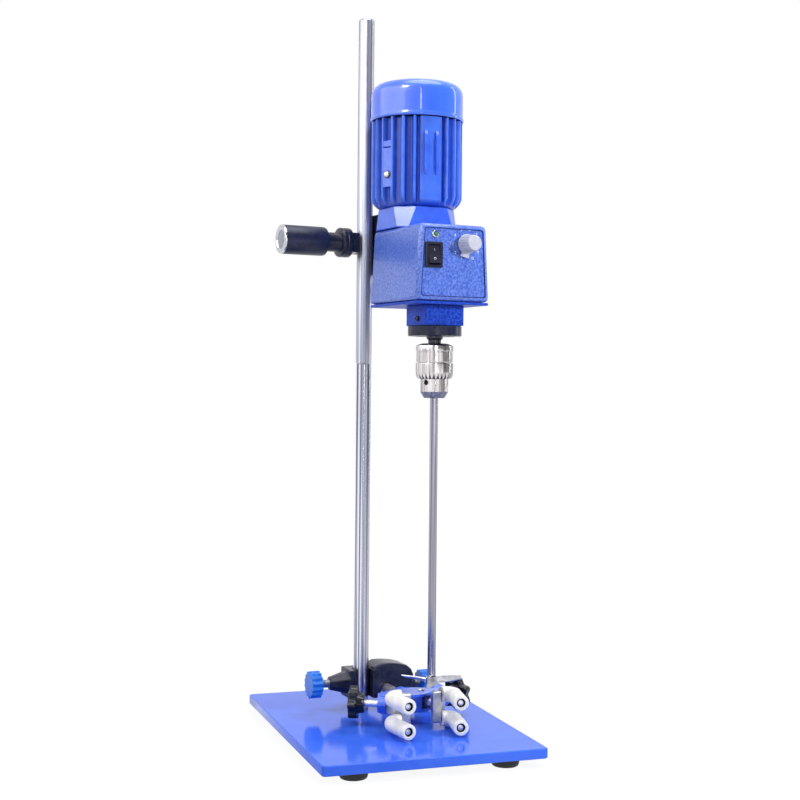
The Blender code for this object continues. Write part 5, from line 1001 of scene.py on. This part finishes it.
def ground():
    """Pale floor that keeps a faint shadow near the part and turns white further out."""
    bm = bmesh.new()
    bmesh.ops.create_grid(bm, x_segments=1, y_segments=1, size=6)
    mesh = bpy.data.meshes.new("floor")
    bm.to_mesh(mesh)
    bm.free()
    floor = bpy.data.objects.new("floor", mesh)
    bpy.context.scene.collection.objects.link(floor)
    paper = bpy.data.materials.new("white_paper")
    paper.use_nodes = True
    tree = paper.node_tree
    tree.nodes.clear()
    rays = add(tree, "ShaderNodeLightPath")
    seen = looked_at(tree, rays, "Glossy")
    where = add(tree, "ShaderNodeTexCoord")
    away = add(tree, "ShaderNodeVectorMath", {0: where.outputs["Object"]}, operation="LENGTH")
    fade = add(tree, "ShaderNodeMapRange", {"Value": away.outputs["Value"]},
               {"From Min": 0.3, "From Max": 1.1, "To Min": 0.84, "To Max": 1.0})
    share = add(tree, "ShaderNodeMath", {0: seen, 1: fade.outputs["Result"]}, operation="MULTIPLY")
    matt = add(tree, "ShaderNodeBsdfDiffuse", inputs={"Color": (0.5, 0.5, 0.51, 1)})
    glow = add(tree, "ShaderNodeEmission", inputs={"Color": (1, 1, 1, 1), "Strength": 1.1})
    mixed = add(tree, "ShaderNodeMixShader", {0: share.outputs[0], 1: matt.outputs[0], 2: glow.outputs[0]})
    add(tree, "ShaderNodeOutputMaterial", {"Surface": mixed.outputs[0]})
    mesh.materials.append(paper)


def lamps():
    """Soft boxes: place, aim, size and watts, then if they light the part and if they show in it."""
    for name, place, aim, size, power, lights, shows in (
            ("left_box", (-1.4, -0.1, 1.1), (0, 0, 0.4), (2.2, 0.9), 15, True, True),
            ("right_key", (1.12, -1.31, 0.84), (0, 0, 0.45), (0.16, 0.3), 24, True, False),
            ("top_box", (0.2, -0.3, 2.0), (0, 0, 0.3), (1.3, 1.3), 22, True, True),
            ("facet_box", (-1.05, -0.82, 1.5), (0, 0, 0.48), (0.4, 0.4), 16, False, True),
            ("front_box", (0.37, -1.5, 0.3), (0, 0, 0.36), (1.2, 0.5), 1.9, False, True),
            ("front_strip", (-0.26, -1.63, 0.9), (0, 0, 0.6), (0.05, 1.0), 3.0, False, True),
            ("right_strip", (1.5, 0.0, 0.9), (0, 0, 0.5), (0.12, 1.4), 3.5, False, True)):
        light = bpy.data.lights.new(name, "AREA")
        light.shape = "RECTANGLE"
        light.size, light.size_y = size
        light.energy = power
        lamp = bpy.data.objects.new(name, light)
        lamp.location = place
        lamp.rotation_euler = (Vector(aim) - Vector(place)).to_track_quat("-Z", "Y").to_euler()
        lamp.visible_diffuse = lights
        lamp.visible_glossy = shows
        bpy.context.scene.collection.objects.link(lamp)


def camera():
    """The photograph's view: level, from the left front, with a slight roll."""
    data = bpy.data.cameras.new("view")
    data.lens = 63.0
    data.sensor_width = 36.0
    data.shift_x = 0.00125
    data.shift_y = -0.0225
    data.clip_end = 50
    eye = bpy.data.objects.new("view", data)
    stands_at = (-0.432, -1.309, 0.350)
    zenith = Vector((0, 0, 1))
    forward = Vector((0.319, 0.948, 0)).normalized()
    right = forward.cross(zenith)
    roll = math.radians(0.55)
    side = right * math.cos(roll) + zenith * math.sin(roll)
    up = zenith * math.cos(roll) - right * math.sin(roll)
    turned = Matrix((side, up, -forward)).transposed().to_4x4()
    eye.matrix_world = Matrix.Translation(stands_at) @ turned
    bpy.context.scene.collection.objects.link(eye)
    bpy.context.scene.camera = eye


stand()
housing()
controls()
motor()
cowl()
neck()
inside()
handle()
output()
bosshead()
flask_clamp()
backdrop()
ground()
lamps()
camera()
bpy.context.scene.view_settings.view_transform = "Standard"
bpy.context.view_layer.update()
